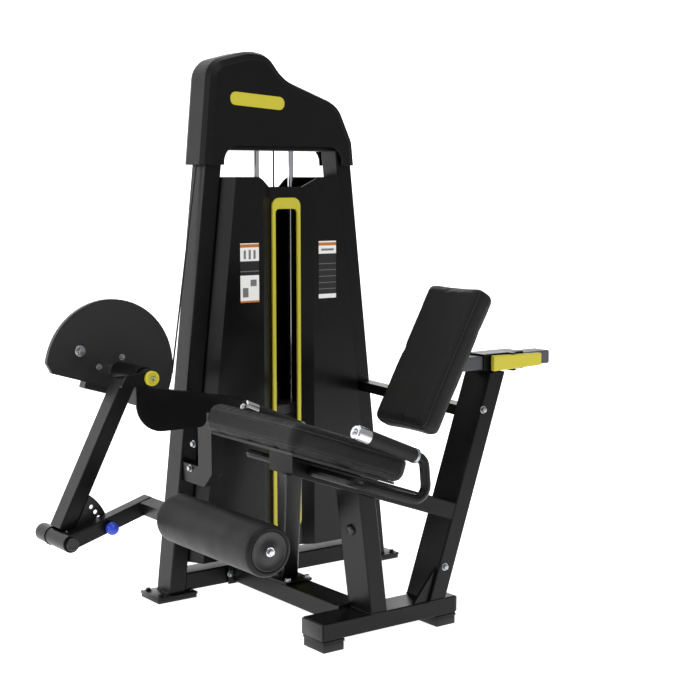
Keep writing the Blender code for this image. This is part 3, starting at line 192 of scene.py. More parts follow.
# %% A finish is one shader with a fine surface pattern
def finish(name, colour, roughness, metallic=0.0, specular=0.5, grain_mm=None, grain_depth=0.0,
           blotch_mm=60.0, blotch=0.0, pattern="noise"):
    """A material whose roughness drifts a little and whose surface has a grain of a real size."""
    made = bpy.data.materials.new(name)
    made.use_nodes = True
    tree = made.node_tree
    shader = tree.nodes["Principled BSDF"]
    shader.inputs["Base Color"].default_value = linear(colour)
    shader.inputs["Roughness"].default_value = roughness
    shader.inputs["Metallic"].default_value = metallic
    shader.inputs["Specular IOR Level"].default_value = specular
    place = add(tree, "ShaderNodeTexCoord")
    if blotch:
        drift = add(tree, "ShaderNodeTexNoise",
                    {"Vector": place.outputs["Object"], "Scale": 1000 / blotch_mm, "Detail": 4.0,
                     "Roughness": 0.6})
        spread = add(tree, "ShaderNodeMapRange",
                     {"Value": drift.outputs["Fac"], "From Min": 0.3, "From Max": 0.7,
                      "To Min": roughness - blotch, "To Max": roughness + blotch})
        tree.links.new(spread.outputs["Result"], shader.inputs["Roughness"])
    if grain_mm:
        if pattern == "cells":
            grain = add(tree, "ShaderNodeTexVoronoi",
                        {"Vector": place.outputs["Object"], "Scale": 1000 / grain_mm},
                        feature="DISTANCE_TO_EDGE")
            range_of = {"Value": grain.outputs["Distance"], "From Min": 0.0, "From Max": 0.18}
            height = add(tree, "ShaderNodeMapRange", range_of).outputs["Result"]
        else:
            settings = {"Vector": place.outputs["Object"], "Scale": 1000 / grain_mm, "Detail": 3.0}
            height = add(tree, "ShaderNodeTexNoise", settings).outputs["Fac"]
        bump = add(tree, "ShaderNodeBump",
                   {"Height": height, "Strength": grain_depth, "Distance": grain_mm / 1000})
        tree.links.new(bump.outputs["Normal"], shader.inputs["Normal"])
    return made


# %% [markdown]
# Powder coat is sprayed on dry and baked, which leaves a shallow orange peel a few millimetres
# across over satin black. Sheet shrouds are the same black but glossier. The top cover is
# moulded ABS with a fine spark texture, drawn a little coarser than real so that it shows.
# Pad vinyl is pressed with a leather grain, drawn as small cells, and spreads its highlight;
# the roller's foam skin is smoother and rubber is duller. Chrome mirrors, zinc is cloudy.

# %% The finishes
powder_coat = finish("black_powder_coat", "#0c0c0d", 0.32, specular=0.20, grain_mm=3.0, grain_depth=0.06,
                     blotch_mm=90, blotch=0.04)
sheet_black = finish("gloss_black_sheet", "#0a0a0b", 0.22, specular=0.25, grain_mm=5.0, grain_depth=0.03,
                     blotch_mm=120, blotch=0.04)
cover_abs = finish("spark_textured_abs", "#0f0f10", 0.42, specular=0.17, grain_mm=1.2, grain_depth=0.12,
                   blotch_mm=80, blotch=0.05)
trim_abs = finish("yellow_green_abs", "#cdc236", 0.4, grain_mm=1.5, grain_depth=0.05,
                  blotch_mm=40, blotch=0.05)
blue_abs = finish("blue_moulded_nylon", "#1d3fb8", 0.35, grain_mm=1.5, grain_depth=0.05)
vinyl = finish("grained_black_vinyl", "#0f0f10", 0.44, specular=0.23, grain_mm=1.6, grain_depth=0.30,
               blotch_mm=70, blotch=0.05, pattern="cells")
foam_skin = finish("smooth_foam_skin", "#111112", 0.48, specular=0.24, grain_mm=1.8, grain_depth=0.16,
                   blotch_mm=70, blotch=0.05)
rubber = finish("moulded_rubber", "#151515", 0.55, specular=0.4, grain_mm=1.2, grain_depth=0.15)
chrome = finish("bright_chrome", "#d6d7da", 0.13, metallic=1.0, blotch_mm=30, blotch=0.03)
zinc = finish("zinc_plated_steel", "#a9acb0", 0.32, metallic=1.0, grain_mm=2.0, grain_depth=0.05,
              blotch_mm=15, blotch=0.08)
slider_steel = finish("grey_painted_steel", "#4a4c50", 0.42, specular=0.5, grain_mm=2.5, grain_depth=0.05,
                      blotch_mm=50, blotch=0.05)
stack_paint = finish("satin_black_plate", "#1a1a1b", 0.45, grain_mm=2.0, grain_depth=0.1,
                     blotch_mm=40, blotch=0.06)
cable_skin = finish("black_cable_jacket", "#141415", 0.4)
nylon = finish("dark_cast_nylon", "#202022", 0.5, grain_mm=2.0, grain_depth=0.05)
abs_black = finish("moulded_black_abs", "#18181a", 0.38, specular=0.45, grain_mm=1.5, grain_depth=0.06,
                   blotch_mm=30, blotch=0.05)
piping = finish("sewn_vinyl_piping", "#202021", 0.4, specular=0.5, grain_mm=1.2, grain_depth=0.2)
label_white = finish("white_printed_film", "#fbfbf8", 0.35, grain_mm=4.0, grain_depth=0.02)
label_grey = finish("grey_printed_film", "#77777a", 0.35, grain_mm=4.0, grain_depth=0.02)
label_black = finish("black_printed_film", "#1d1d1f", 0.3, grain_mm=4.0, grain_depth=0.02)
label_orange = finish("orange_printed_film", "#c8782e", 0.35, grain_mm=4.0, grain_depth=0.02)

# %% Finishes on the CAD pieces
FINISH_OF_SLOT = {
    "frame_powder_coat": powder_coat, "chrome": chrome, "steel_plate": stack_paint,
    "cover_plastic": cover_abs, "shroud_plastic": sheet_black, "trim_plastic": trim_abs,
    "vinyl": vinyl, "rubber": rubber, "cable_jacket": cable_skin, "blue_plastic": blue_abs,
    "pulley_nylon": nylon, "satin_steel": slider_steel,
}
for entry in frame["record"]["subparts"]:
    node = nodes[entry["node"]]
    node.data.materials.clear()
    node.data.materials.append(FINISH_OF_SLOT[entry["material_slot"]])
print("CAD pieces with a finish:", len(nodes))

# %% [markdown]
# ## Measuring from the tower
# The CAD pieces keep their places in their meshes, so every new piece does too. Places are
# given from the tower's centre line at the floor, which lies midway between the guide rods.

# %% The tower's centre line
rod_corners = [*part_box("left_guide_rod"), *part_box("right_guide_rod")]
tower = sum(rod_corners, Vector()) / 4
print("tower centre line", round(tower.x, 4), round(tower.y, 4))


def at(x, y, z):
    """A point measured from the tower's centre line at the floor."""
    return Vector((tower.x + x, tower.y + y, z))


def on_axis(node, y):
    """The point at depth y on the axis of a round CAD piece that lies along Y."""
    low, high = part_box(node)
    return Vector(((low.x + high.x) / 2, y, (low.z + high.z) / 2))


def facing(origin, z_way, x_way=None):
    """A matrix that puts a shape's own Z axis along z_way, at origin."""
    z = Vector(z_way).normalized()
    x = Vector(x_way) if x_way else z.orthogonal()
    x = (x - z * x.dot(z)).normalized()
    turned = Matrix((x, z.cross(x), z)).transposed().to_4x4()
    turned.translation = origin
    return turned


# %% [markdown]
# ## Three ways to start a shape
# Most hardware is either turned on a lathe, cut as a block, or bent from a tube. In bmesh
# those are spin, create_cube with bevel, and a curve with a round section. Each helper adds
# its shape to a bmesh that may already hold others, and moves only what it has just made.


# %% Settle, lathe and block
def once(items):
    """Each item once, in a fixed order, which a set wouldn't keep from one run to the next."""
    return list(dict.fromkeys(items))


def settle(bm, known, place, paint):
    """Merges the poles of the newest shape, moves it into place and gives it a finish."""
    fresh = [v for v in bm.verts if v not in known]
    bmesh.ops.remove_doubles(bm, verts=fresh, dist=1e-6)
    fresh = [v for v in bm.verts if v not in known]
    bmesh.ops.transform(bm, matrix=place, verts=fresh)
    for face in once(f for v in fresh for f in v.link_faces):
        face.material_index = paint


def lathe(bm, profile, place, steps=40, paint=0):
    """Spins (radius, height) pairs round the shape's own Z axis."""
    known = set(bm.verts)
    line = [bm.verts.new((radius, 0, height)) for radius, height in profile]
    edges = [bm.edges.new(pair) for pair in zip(line, line[1:])]
    bmesh.ops.spin(bm, geom=line + edges, cent=(0, 0, 0), axis=(0, 0, 1), angle=math.tau,
                   steps=steps, use_merge=True)
    settle(bm, known, place, paint)


def block(bm, size, place, rounding=0.0015, segments=2, paint=0):
    """A box with rounded edges, centred on its place."""
    known = set(bm.verts)
    made = bmesh.ops.create_cube(bm, size=1)
    bmesh.ops.scale(bm, vec=size, verts=made["verts"])
    edges = once(e for v in made["verts"] for e in v.link_edges)
    bmesh.ops.bevel(bm, geom=edges, offset=rounding, offset_type="OFFSET", affect="EDGES",
                    segments=segments, profile=0.5, material=-1)
    settle(bm, known, place, paint)


# %% A finished piece
def piece(name, bm, finishes, body, stands_for=(), smooth=40):
    """Turns a bmesh into an object at the origin that rides on a body."""
    bmesh.ops.recalc_face_normals(bm, faces=bm.faces)
    mesh = bpy.data.meshes.new(name)
    bm.to_mesh(mesh)
    bm.free()
    mesh.shade_smooth()
    mesh.set_sharp_from_angle(angle=math.radians(smooth))
    for each in finishes:
        mesh.materials.append(each)
    made = bpy.data.objects.new(name, mesh)
    bpy.context.scene.collection.objects.link(made)
    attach(made, body)
    if stands_for:
        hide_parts(*stands_for)
    print(name, len(mesh.polygons), "faces")
    return made


# %% [markdown]
# ## Cushions
# The seat and the backrest are foam under stretched vinyl. Each starts from a merged copy of
# its CAD solid, a little smaller, because the pressure of a short cloth run swells it: the
# faces crown and the sides pull in between the corners, as on a real upholstered pad. The
# remesh erases anything finer than itself, so seams are sewn in afterwards.


# %% Inflate a pad
CLOTH_FRAMES, CLOTH_PRESSURE, SIDE_SHARE = 20, 4, 0.35


def inflate(name, bm, voxel, cap):
    """Remeshes a closed form evenly, blows it up as cloth, and caps how far a point may move."""
    mesh = bpy.data.meshes.new(name + "_form")
    bm.to_mesh(mesh)
    bm.free()
    form = bpy.data.objects.new(name + "_form", mesh)
    bpy.context.scene.collection.objects.link(form)
    remesh = form.modifiers.new("even_mesh", "REMESH")
    remesh.mode, remesh.voxel_size = "VOXEL", voxel
    graph = bpy.context.evaluated_depsgraph_get()
    even = bpy.data.meshes.new_from_object(form.evaluated_get(graph))
    form.modifiers.clear()
    form.data = even
    still = [v.co.copy() for v in even.vertices]
    cloth = form.modifiers.new("vinyl", "CLOTH")
    cloth.settings.use_pressure = True
    cloth.settings.uniform_pressure_force = CLOTH_PRESSURE
    cloth.settings.effector_weights.gravity = 0
    cloth.point_cache.frame_start, cloth.point_cache.frame_end = 1, CLOTH_FRAMES
    for moment in range(1, CLOTH_FRAMES + 1):
        bpy.context.scene.frame_set(moment)
    swollen = form.evaluated_get(bpy.context.evaluated_depsgraph_get()).data
    moves = [v.co - old for v, old in zip(swollen.vertices, still)]
    form.modifiers.clear()
    for vert, old, move in zip(even.vertices, still, moves):
        # dense foam holds its sides nearly straight
        move.x, move.y = move.x * SIDE_SHARE, move.y * SIDE_SHARE
        vert.co = old + move * min(1, cap / max(move.length, 1e-9))
    most = min(cap, max(m.length for m in moves))
    print(name, "swelled by up to", round(1000 * most, 1), "mm")
    bpy.context.scene.frame_set(1)
    smooth = form.modifiers.new("smoother", "SUBSURF")
    smooth.levels = smooth.render_levels = 1
    done = bpy.data.meshes.new_from_object(form.evaluated_get(bpy.context.evaluated_depsgraph_get()))
    bpy.data.objects.remove(form)
    made = bmesh.new()
    made.from_mesh(done)
    return made


# %% The line where a plane cuts a shape, as a thin cord
def cut_line(bm, height, normal=(0, 0, 1)):
    """The closed loops of points where a plane cuts a shape, longest first."""
    slice_of = bm.copy()
    n = Vector(normal)
    bmesh.ops.bisect_plane(slice_of, geom=slice_of.verts[:] + slice_of.edges[:] + slice_of.faces[:],
                           plane_co=n * height, plane_no=n, clear_inner=True, clear_outer=True)
    loops, left = [], dict.fromkeys(slice_of.verts)
    while left:
        here = left.popitem()[0]
        loop = [here.co.copy()]
        while True:
            near = [e.other_vert(here) for e in here.link_edges if e.other_vert(here) in left]
            if not near:
                break
            here = near[0]
            del left[here]
            loop.append(here.co.copy())
        loops.append(loop)
    slice_of.free()
    return sorted(loops, key=len, reverse=True)


def cord_along(name, loops, radius, finish_used, body, ripple=1.0):
    """A thin round cord along each closed line; a ripple below 1 thins every second point."""
    curve = bpy.data.curves.new(name, "CURVE")
    curve.dimensions, curve.bevel_depth, curve.bevel_resolution = "3D", radius, 1
    for loop in loops:
        spline = curve.splines.new("POLY")
        spline.points.add(len(loop) - 1)
        spline.use_cyclic_u = True
        for index, (point, place) in enumerate(zip(spline.points, loop)):
            point.co = (*place, 1)
            point.radius = 1 if index % 2 else ripple
    rough = bpy.data.objects.new(name + "_line", curve)
    bpy.context.scene.collection.objects.link(rough)
    mesh = bpy.data.meshes.new_from_object(rough.evaluated_get(bpy.context.evaluated_depsgraph_get()))
    bpy.data.objects.remove(rough)
    bm = bmesh.new()
    bm.from_mesh(mesh)
    return piece(name, bm, [finish_used], body, smooth=60)


# %% A sewn pad
PAD_VOXEL, PAD_SHRINK, PAD_CAP = 0.0055, 0.002, 0.004
PAD_ROOM = ((0, 0.003), (1, 0.003), (2, 0.006))
SEAM_WIDTH, SEAM_DIP, SEAM_CORD_R = 0.003, 0.0016, 0.0011


def sewn_pad(node, body, z_way, x_way, seams):
    """Inflates a copy of a CAD pad in its own axes and sews a seam in at each given depth."""
    low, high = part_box(node)
    place = facing((low + high) / 2, z_way, x_way)
    bm = bmesh.new()
    bm.from_mesh(nodes[node].data)
    bmesh.ops.remove_doubles(bm, verts=bm.verts, dist=1e-5)
    bmesh.ops.transform(bm, matrix=place.inverted(), verts=bm.verts)
    limit = [max(abs(v.co[i]) for v in bm.verts) for i in range(3)]
    floor_z = min(v.co.z for v in bm.verts)
    bmesh.ops.scale(bm, vec=[1 - PAD_SHRINK / size for size in limit], verts=bm.verts)
    bm = inflate(node, bm, PAD_VOXEL, PAD_CAP)
    bm.normal_update()
    for vert in bm.verts:
        # the pad is flat where it rests on its board
        vert.co.z = max(vert.co.z, floor_z)
        for axis, room in PAD_ROOM:
            reach = limit[axis] + room
            vert.co[axis] = max(-reach, min(reach, vert.co[axis]))
        for depth in seams:
            away = (vert.co.z - (limit[2] - depth)) / SEAM_WIDTH
            if abs(vert.normal.z) < 0.93 and abs(away) < 3:
                vert.co -= vert.normal * SEAM_DIP * math.exp(-away * away)
    lines = [cut_line(bm, limit[2] - depth)[0] for depth in seams]
    for line in lines:
        for point in line:
            point.xyz = place @ point
    bmesh.ops.transform(bm, matrix=place, verts=bm.verts)
    made = piece(node + "_vinyl", bm, [vinyl], body, [node], smooth=180)
    cord_along(node + "_seams", lines, SEAM_CORD_R, piping, body)
    return made


# %% Seat and backrest
SEAT_TILT, RECLINE = math.radians(19.5), math.radians(28.9)
sewn_pad("seat_pad", "frame", (math.sin(SEAT_TILT), 0, math.cos(SEAT_TILT)),
         (math.cos(SEAT_TILT), 0, -math.sin(SEAT_TILT)), [0.014, 0.056])
sewn_pad("backrest_pad", "backrest", (-math.cos(RECLINE), 0, math.sin(RECLINE)),
         (math.sin(RECLINE), 0, math.cos(RECLINE)), [0.014, 0.058])

# %% [markdown]
# ## Roller
# The shin roller is a tube of dense foam in a smooth skin, turned to a bullnose at each end.
# Such foam is too firm to crown, so it is spun from its profile and then pushed in and out
# by a fraction of a millimetre, which breaks up the long highlight as real foam does.

# %% The roller's foam
ROLLER_R, ROLLER_HALF, ROLLER_NOSE, ROLLER_DISC, SPINDLE_R = 0.060, 0.2075, 0.010, 0.047, 0.0125
FOAM_WANDER, FOAM_RATE, SIDE_STEPS = 0.0005, 22, 24
roller_low, roller_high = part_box("roller_pad")
roller_place = facing((roller_low + roller_high) / 2, (0, -1, 0))
nose = [(ROLLER_R - ROLLER_NOSE + ROLLER_NOSE * math.cos(math.radians(a)),
         ROLLER_HALF - ROLLER_NOSE + ROLLER_NOSE * math.sin(math.radians(a))) for a in range(0, 91, 15)]
lip = [*nose, (ROLLER_DISC + 0.0015, ROLLER_HALF - 0.0004), (ROLLER_DISC, ROLLER_HALF - 0.003),
       (SPINDLE_R + 0.0015, ROLLER_HALF - 0.003)]
side = [(ROLLER_R, ROLLER_HALF - 0.010 - step * (2 * ROLLER_HALF - 0.020) / SIDE_STEPS)
        for step in range(1, SIDE_STEPS)]
profile = [*reversed(lip), *side, *[(r, -h) for r, h in lip]]
bm = bmesh.new()
lathe(bm, [*profile, profile[0]], roller_place, steps=64)
bm.normal_update()
for vert in bm.verts:
    vert.co += vert.normal * FOAM_WANDER * noise.noise(vert.co * FOAM_RATE)
roller = piece("roller_foam", bm, [foam_skin], "roller", ["roller_pad"], smooth=50)

# %% The roller's end discs
bm = bmesh.new()
for sign in (1, -1):
    disc = facing(roller_place @ Vector((0, 0, sign * (ROLLER_HALF - 0.003))), (0, -sign, 0))
    lathe(bm, [(SPINDLE_R + 0.001, 0), (SPINDLE_R + 0.001, 0.003), (0.020, 0.003), (0.021, 0.0022),
               (0.0405, 0.0022), (0.0415, 0.003), (0.0455, 0.003), (0.0465, 0.002), (0.0465, 0),
               (SPINDLE_R + 0.001, 0)], disc, 56)
piece("roller_end_discs", bm, [abs_black], "roller")

# %% [markdown]
# ## Bolts
# A hexagon bolt is a six-sided cone with its top corners bevelled off, on a turned washer.
# The same head is used wherever the machine is bolted, in zinc or painted over in black.


# %% A bolt head
def bolt(bm, place, across=0.013, paint=0, washer=True):
    """A hexagon head on a washer, standing on the surface at its place."""
    lift = 0.0016 if washer else 0.0
    if washer:
        lathe(bm, [(0, 0), (across * 0.78, 0), (across * 0.78, lift - 0.0004), (across * 0.75, lift),
                   (0, lift)], place, 24, paint)
    known = set(bm.verts)
    height = across * 0.5
    corner = across / math.sqrt(3)
    head = bmesh.ops.create_cone(bm, segments=6, cap_ends=True, cap_tris=False, radius1=corner,
                                 radius2=corner, depth=height)
    top = [e for v in head["verts"] for e in v.link_edges if all(w.co.z > 0 for w in e.verts)]
    bmesh.ops.bevel(bm, geom=once(top), offset=across * 0.09, offset_type="OFFSET",
                    affect="EDGES", segments=2, profile=0.5, material=-1)
    settle(bm, known, place @ Matrix.Translation((0, 0, lift + height / 2)), paint)


# %% Spindle and its bolt
bm = bmesh.new()
outer = facing(on_axis("roller_spindle", roller_low.y + 0.0005), (0, -1, 0))
inner_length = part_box("roller_spindle")[1].y - roller_low.y - 0.0005
lathe(bm, [(0, -inner_length), (SPINDLE_R, -inner_length), (SPINDLE_R, 0), (0.0165, 0.0002), (0.0165, 0.0016),
           (0.0155, 0.0024), (0, 0.0024)], outer, 32, 0)
bolt(bm, outer @ Matrix.Translation((0, 0, 0.0024)), 0.014, 1)
piece("roller_spindle_turned", bm, [abs_black, chrome], "roller_carrier", ["roller_spindle"])

# %% Bolts on the cam
bm = bmesh.new()
for x, z, across in ((-0.616, 0.710, 0.019), (-0.562, 0.664, 0.011), (-0.494, 0.685, 0.011)):
    bolt(bm, facing(at(x, -0.007, z), (0, -1, 0), (1, 0, 0.4)), across)
bolt(bm, facing(on_axis("pivot_shaft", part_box("pivot_shaft")[1].y), (0, 1, 0)), 0.019)
piece("cam_bolts", bm, [zinc], "leg_arm")

# %% [markdown]
# ## Pivot cap
# A moulded cap covers the end of the pivot shaft: a raised rim, a shallow recess and a small
# boss with a bright bolt in it. It is one profile on the lathe.

# %% The cap and its bolt
cap_place = facing(on_axis("shaft_cap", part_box("shaft_cap")[1].y), (0, -1, 0))
bm = bmesh.new()
lathe(bm, [(0, 0), (0.0185, 0), (0.019, 0.0008), (0.019, 0.0102), (0.0175, 0.012), (0.0155, 0.012),
           (0.0145, 0.0100), (0.0112, 0.0100), (0.0105, 0.0116), (0.0078, 0.0116), (0.0072, 0.0090),
           (0, 0.0090)], cap_place, 56)
piece("shaft_cap_moulded", bm, [trim_abs], "leg_arm", ["shaft_cap"])
bm = bmesh.new()
bolt(bm, cap_place @ Matrix.Translation((0, 0, 0.0090)), 0.0095, washer=False)
piece("shaft_cap_bolt", bm, [chrome], "leg_arm")

# %% [markdown]
# ## Pull pin
# The blue ball knob pulls a sprung pin out of one of the sector's holes. Balls and necks are
# turned too, from points on a quarter circle.

# %% The ball knob
pin_low, pin_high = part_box("pull_pin")
pin_place = facing(on_axis("pull_pin", pin_high.y), (0, -1, 0))
pin_length = pin_high.y - pin_low.y
BALL_R = 0.0165
ball = [(BALL_R * math.sin(math.radians(a)), pin_length - BALL_R * (1 - math.cos(math.radians(a))))
        for a in range(150, -1, -15)]
bm = bmesh.new()
lathe(bm, [(0, 0), (0.0045, 0), (0.005, 0.0008), (0.005, pin_length - 0.040), (0.0105, pin_length - 0.040),
           (0.0105, pin_length - 0.033), (0.0088, pin_length - 0.0308)], pin_place, 32, 1)
lathe(bm, [(0, ball[0][1]), *ball], pin_place, 40, 0)
piece("pull_knob", bm, [blue_abs, chrome], "pull_pin", ["pull_pin"])

# %% [markdown]
# ## Hand grips
# Each grip is a ribbed rubber sleeve on a bent steel bar, closed at the front by a chromed cap
# with a dimple in it and at the back by a bright collar. All of it is one lathe profile,
# with the ribs as small steps in the line.

# %% Grips with their caps
GRIP_R, GRIP_LENGTH, GRIP_CAP, BAR_R, RIB_COUNT = 0.018, 0.195, 0.040, 0.0131, 36
for side, y in (("near", -0.852), ("far", -0.376)):
    tip, rear = at(-0.345, y, 0.586), at(-0.153, y, 0.504)
    grip_place = facing(tip, tip - rear)
    ribs = []
    start = -GRIP_CAP - 0.001
    pitch = (GRIP_LENGTH - GRIP_CAP - 0.011) / RIB_COUNT
    for index in range(RIB_COUNT):
        here = start - index * pitch
        ribs += [(GRIP_R - 0.0002, here - 0.1 * pitch), (GRIP_R - 0.0002, here - 0.55 * pitch),
                 (GRIP_R - 0.0010, here - 0.65 * pitch), (GRIP_R - 0.0010, here - 0.98 * pitch)]
    bm = bmesh.new()
    lathe(bm, [(BAR_R, start), *ribs, (BAR_R, ribs[-1][1]), (BAR_R, start)], grip_place, 40, 0)
    lathe(bm, [(0, -0.0056), (0.006, -0.0056), (0.0065, -0.001), (0.0085, 0), (GRIP_R - 0.003, 0),
               (GRIP_R, -0.003), (GRIP_R, -GRIP_CAP + 0.0005), (GRIP_R - 0.0008, -GRIP_CAP),
               (BAR_R, -GRIP_CAP), (BAR_R, -0.0058), (0, -0.0058)], grip_place, 48, 1)
    lathe(bm, [(BAR_R, -GRIP_LENGTH), (GRIP_R - 0.001, -GRIP_LENGTH), (GRIP_R + 0.0005, -GRIP_LENGTH + 0.001),
               (GRIP_R + 0.0005, -GRIP_LENGTH + 0.008), (GRIP_R - 0.001, -GRIP_LENGTH + 0.009),
               (BAR_R, -GRIP_LENGTH + 0.009), (BAR_R, -GRIP_LENGTH)], grip_place, 40, 2)
    piece(side + "_grip_ribbed", bm, [rubber, chrome, zinc], "frame", [side + "_grip"],
          smooth=35)

# %% [markdown]
# ## Feet
# Every foot is a steel plate on a thick rubber pad, with the pad a little smaller, so a dark
# line shows between them. The tower's plates are bolted through; the seat frame's are not.

# %% Feet in two layers
FOOT_STEEL = 0.008
bm_plates, bm_rubber = bmesh.new(), bmesh.new()
feet = ["left_foot", "right_foot", "front_base_foot", "rear_base_foot"]
for node in feet:
    low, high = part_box(node)
    size, centre = high - low, (low + high) / 2
    plate_place = facing(Vector((centre.x, centre.y, high.z - FOOT_STEEL / 2)), (0, 0, 1), (1, 0, 0))
    rubber_place = facing(Vector((centre.x, centre.y, (size.z - FOOT_STEEL) / 2)), (0, 0, 1), (1, 0, 0))
    block(bm_plates, (size.x, size.y, FOOT_STEEL), plate_place, 0.0015)
    block(bm_rubber, (size.x - 0.003, size.y - 0.003, size.z - FOOT_STEEL - 0.0004), rubber_place, 0.002)
for x in (-0.403, -0.311, 0.311, 0.403):
    for y in (-0.036, 0.036):
        bolt(bm_plates, facing(at(x, y, 0.018), (0, 0, 1), (1, 0.3, 0)), 0.012)
piece("foot_plates", bm_plates, [powder_coat], "frame", feet)
piece("foot_rubbers", bm_rubber, [rubber], "frame")

# %% [markdown]
# ## Frame hardware
# Flanges tie the welded sub-frames together. Each is a plate with bolt heads on it, and open
# tube ends get a pressed-in plastic plug with a shallow step round it.

# %% Flanges and bolts
bm = bmesh.new()
flanges = [((0.086, 0.084, 0.008), (-0.135, -0.275, 0.0792), (0, 0, 1)),
           ((0.100, 0.064, 0.007), (-0.135, -0.5645, 0.050), (0, 1, 0)),
           ((0.110, 0.060, 0.007), (-0.135, -0.0425, 0.048), (0, -1, 0))]
for size, spot, way in flanges:
    block(bm, size, facing(at(*spot), way, (1, 0, 0)))
spots = [((-0.166, -0.309, 0.0832), (0, 0, 1)), ((-0.104, -0.309, 0.0832), (0, 0, 1)),
         ((-0.185, -0.046, 0.048), (0, -1, 0)), ((-0.085, -0.046, 0.048), (0, -1, 0)),
         ((-0.330, -0.100, 0.445), (-1, 0, 0)), ((-0.330, -0.080, 0.375), (-1, 0, 0)),
         ((-0.196, -0.664, 0.413), (0, -1, 0)), ((-0.330, -0.664, 0.461), (0, -1, 0)),
         ((0.212, -0.664, 0.560), (0, -1, 0)), ((0.085, -0.664, 0.160), (0, -1, 0))]
for spot, way in spots:
    bolt(bm, facing(at(*spot), way), 0.013, 1)
piece("frame_hardware", bm, [powder_coat, zinc], "frame")

# %% Plugs in the tube ends
POST_LEAN = math.radians(7.4)
PLUG, PLUG_STEP = (0.041, 0.086, 0.005), (0.041 - 0.014, 0.086 - 0.014, 0.001)
bm = bmesh.new()
for spot, way in (((-0.2995, -0.614, 0.0525), (-1, 0, 0)), ((0.1315, -0.614, 0.0525), (1, 0, 0))):
    block(bm, PLUG, facing(at(*spot), way, (0, 0, 1)), 0.0018)
    block(bm, PLUG_STEP, facing(at(*spot) + Vector(way) * 0.0026, way, (0, 0, 1)), 0.0004)
knob = facing(at(-0.1795, -0.614, 0.2875), (-math.cos(POST_LEAN), 0, -math.sin(POST_LEAN)))
lathe(bm, [(0, 0), (0.0140, 0), (0.0140, 0.0035), (0.0120, 0.0060), (0.0085, 0.0072),
           (0.0080, 0.0064), (0, 0.0064)], knob, 40)
piece("tube_plugs", bm, [abs_black], "frame")
bm = bmesh.new()
block(bm, (0.030, 0.054, 0.004), facing(at(0.4682, -0.614, 0.6792), (1, 0, 0), (0, 0, 1)), 0.0015)
piece("slider_plug", bm, [abs_black], "backrest")

# %% End cap of the lower pivot
bm = bmesh.new()
lathe(bm, [(0, 0), (0.0165, 0), (0.0165, 0.0035), (0.0150, 0.0050), (0.0110, 0.0050), (0.0102, 0.0038),
           (0, 0.0038)], facing(on_axis("lower_pivot_tube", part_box("roller_arm_pin")[0].y), (0, -1, 0)))
piece("lower_pivot_cap", bm, [abs_black], "roller_carrier")
nodes["roller_arm_pin"].data.materials[0] = abs_black

# %% [markdown]
# ## Welds
# Where a tube meets another, a welder leaves a bead of overlapping drops. A round cord bent
# round the joint and thinned at every second point gives that ripple cheaply.


# %% Beads round the tube ends
def rectangle(centre, half_x, half_y, x_way=(1, 0, 0), y_way=(0, 1, 0), corner=0.005, spacing=0.003):
    """Evenly spaced points round a rectangle with cut corners."""
    x_way, y_way = Vector(x_way), Vector(y_way)
    ring = [(half_x, -half_y + corner), (half_x, half_y - corner),
            (half_x - corner, half_y), (corner - half_x, half_y),
            (-half_x, half_y - corner), (-half_x, corner - half_y),
            (corner - half_x, -half_y), (half_x - corner, -half_y)]
    found = []
    for (x0, y0), (x1, y1) in zip(ring, ring[1:] + ring[:1]):
        steps = max(2, round(math.hypot(x1 - x0, y1 - y0) / spacing))
        found += [centre + x_way * (x0 + (x1 - x0) * s / steps) + y_way * (y0 + (y1 - y0) * s / steps)
                  for s in range(steps)]
    return found


beads = [rectangle(at(-0.1272, -0.614, 0.0762), 0.0258, 0.0505),
         rectangle(at(0.0632, -0.614, 0.0762), 0.0270, 0.0505),
         rectangle(at(-0.3508, 0, 0.0190), 0.0258, 0.0380),
         rectangle(at(0.3508, 0, 0.0190), 0.0258, 0.0380),
         rectangle(at(-0.135, -0.5682, 0.050), 0.0402, 0.0252, (1, 0, 0), (0, 0, 1))]
cord_along("frame_welds", beads, 0.0023, powder_coat, "frame", ripple=0.72)
WELD_RING_R, WELD_RING_STEPS = 0.0228, 48
tube_low, tube_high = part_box("lower_pivot_tube")
pivot_x, pivot_z = (tube_low.x + tube_high.x) / 2, (tube_low.z + tube_high.z) / 2
ring = [Vector((pivot_x + WELD_RING_R * math.cos(a), at(0, -0.154, 0).y, pivot_z + WELD_RING_R * math.sin(a)))
        for a in [math.tau * step / WELD_RING_STEPS for step in range(WELD_RING_STEPS)]]
cord_along("pivot_weld", [ring], 0.0024, powder_coat, "leg_arm", ripple=0.75)

# %% [markdown]
# ## Weight stack
# A stack is a pile of separate steel slabs. Each slab is filled round its three holes by
# triangle_fill, which leaves inner rings open, then extruded and given a bevelled edge.


# %% Plates
PLATE_GAP, PLATE_BEVEL = 0.0012, 0.0018
PLATE_HOLES = ((-0.058, 0.0092), (0, 0.0125), (0.058, 0.0092))


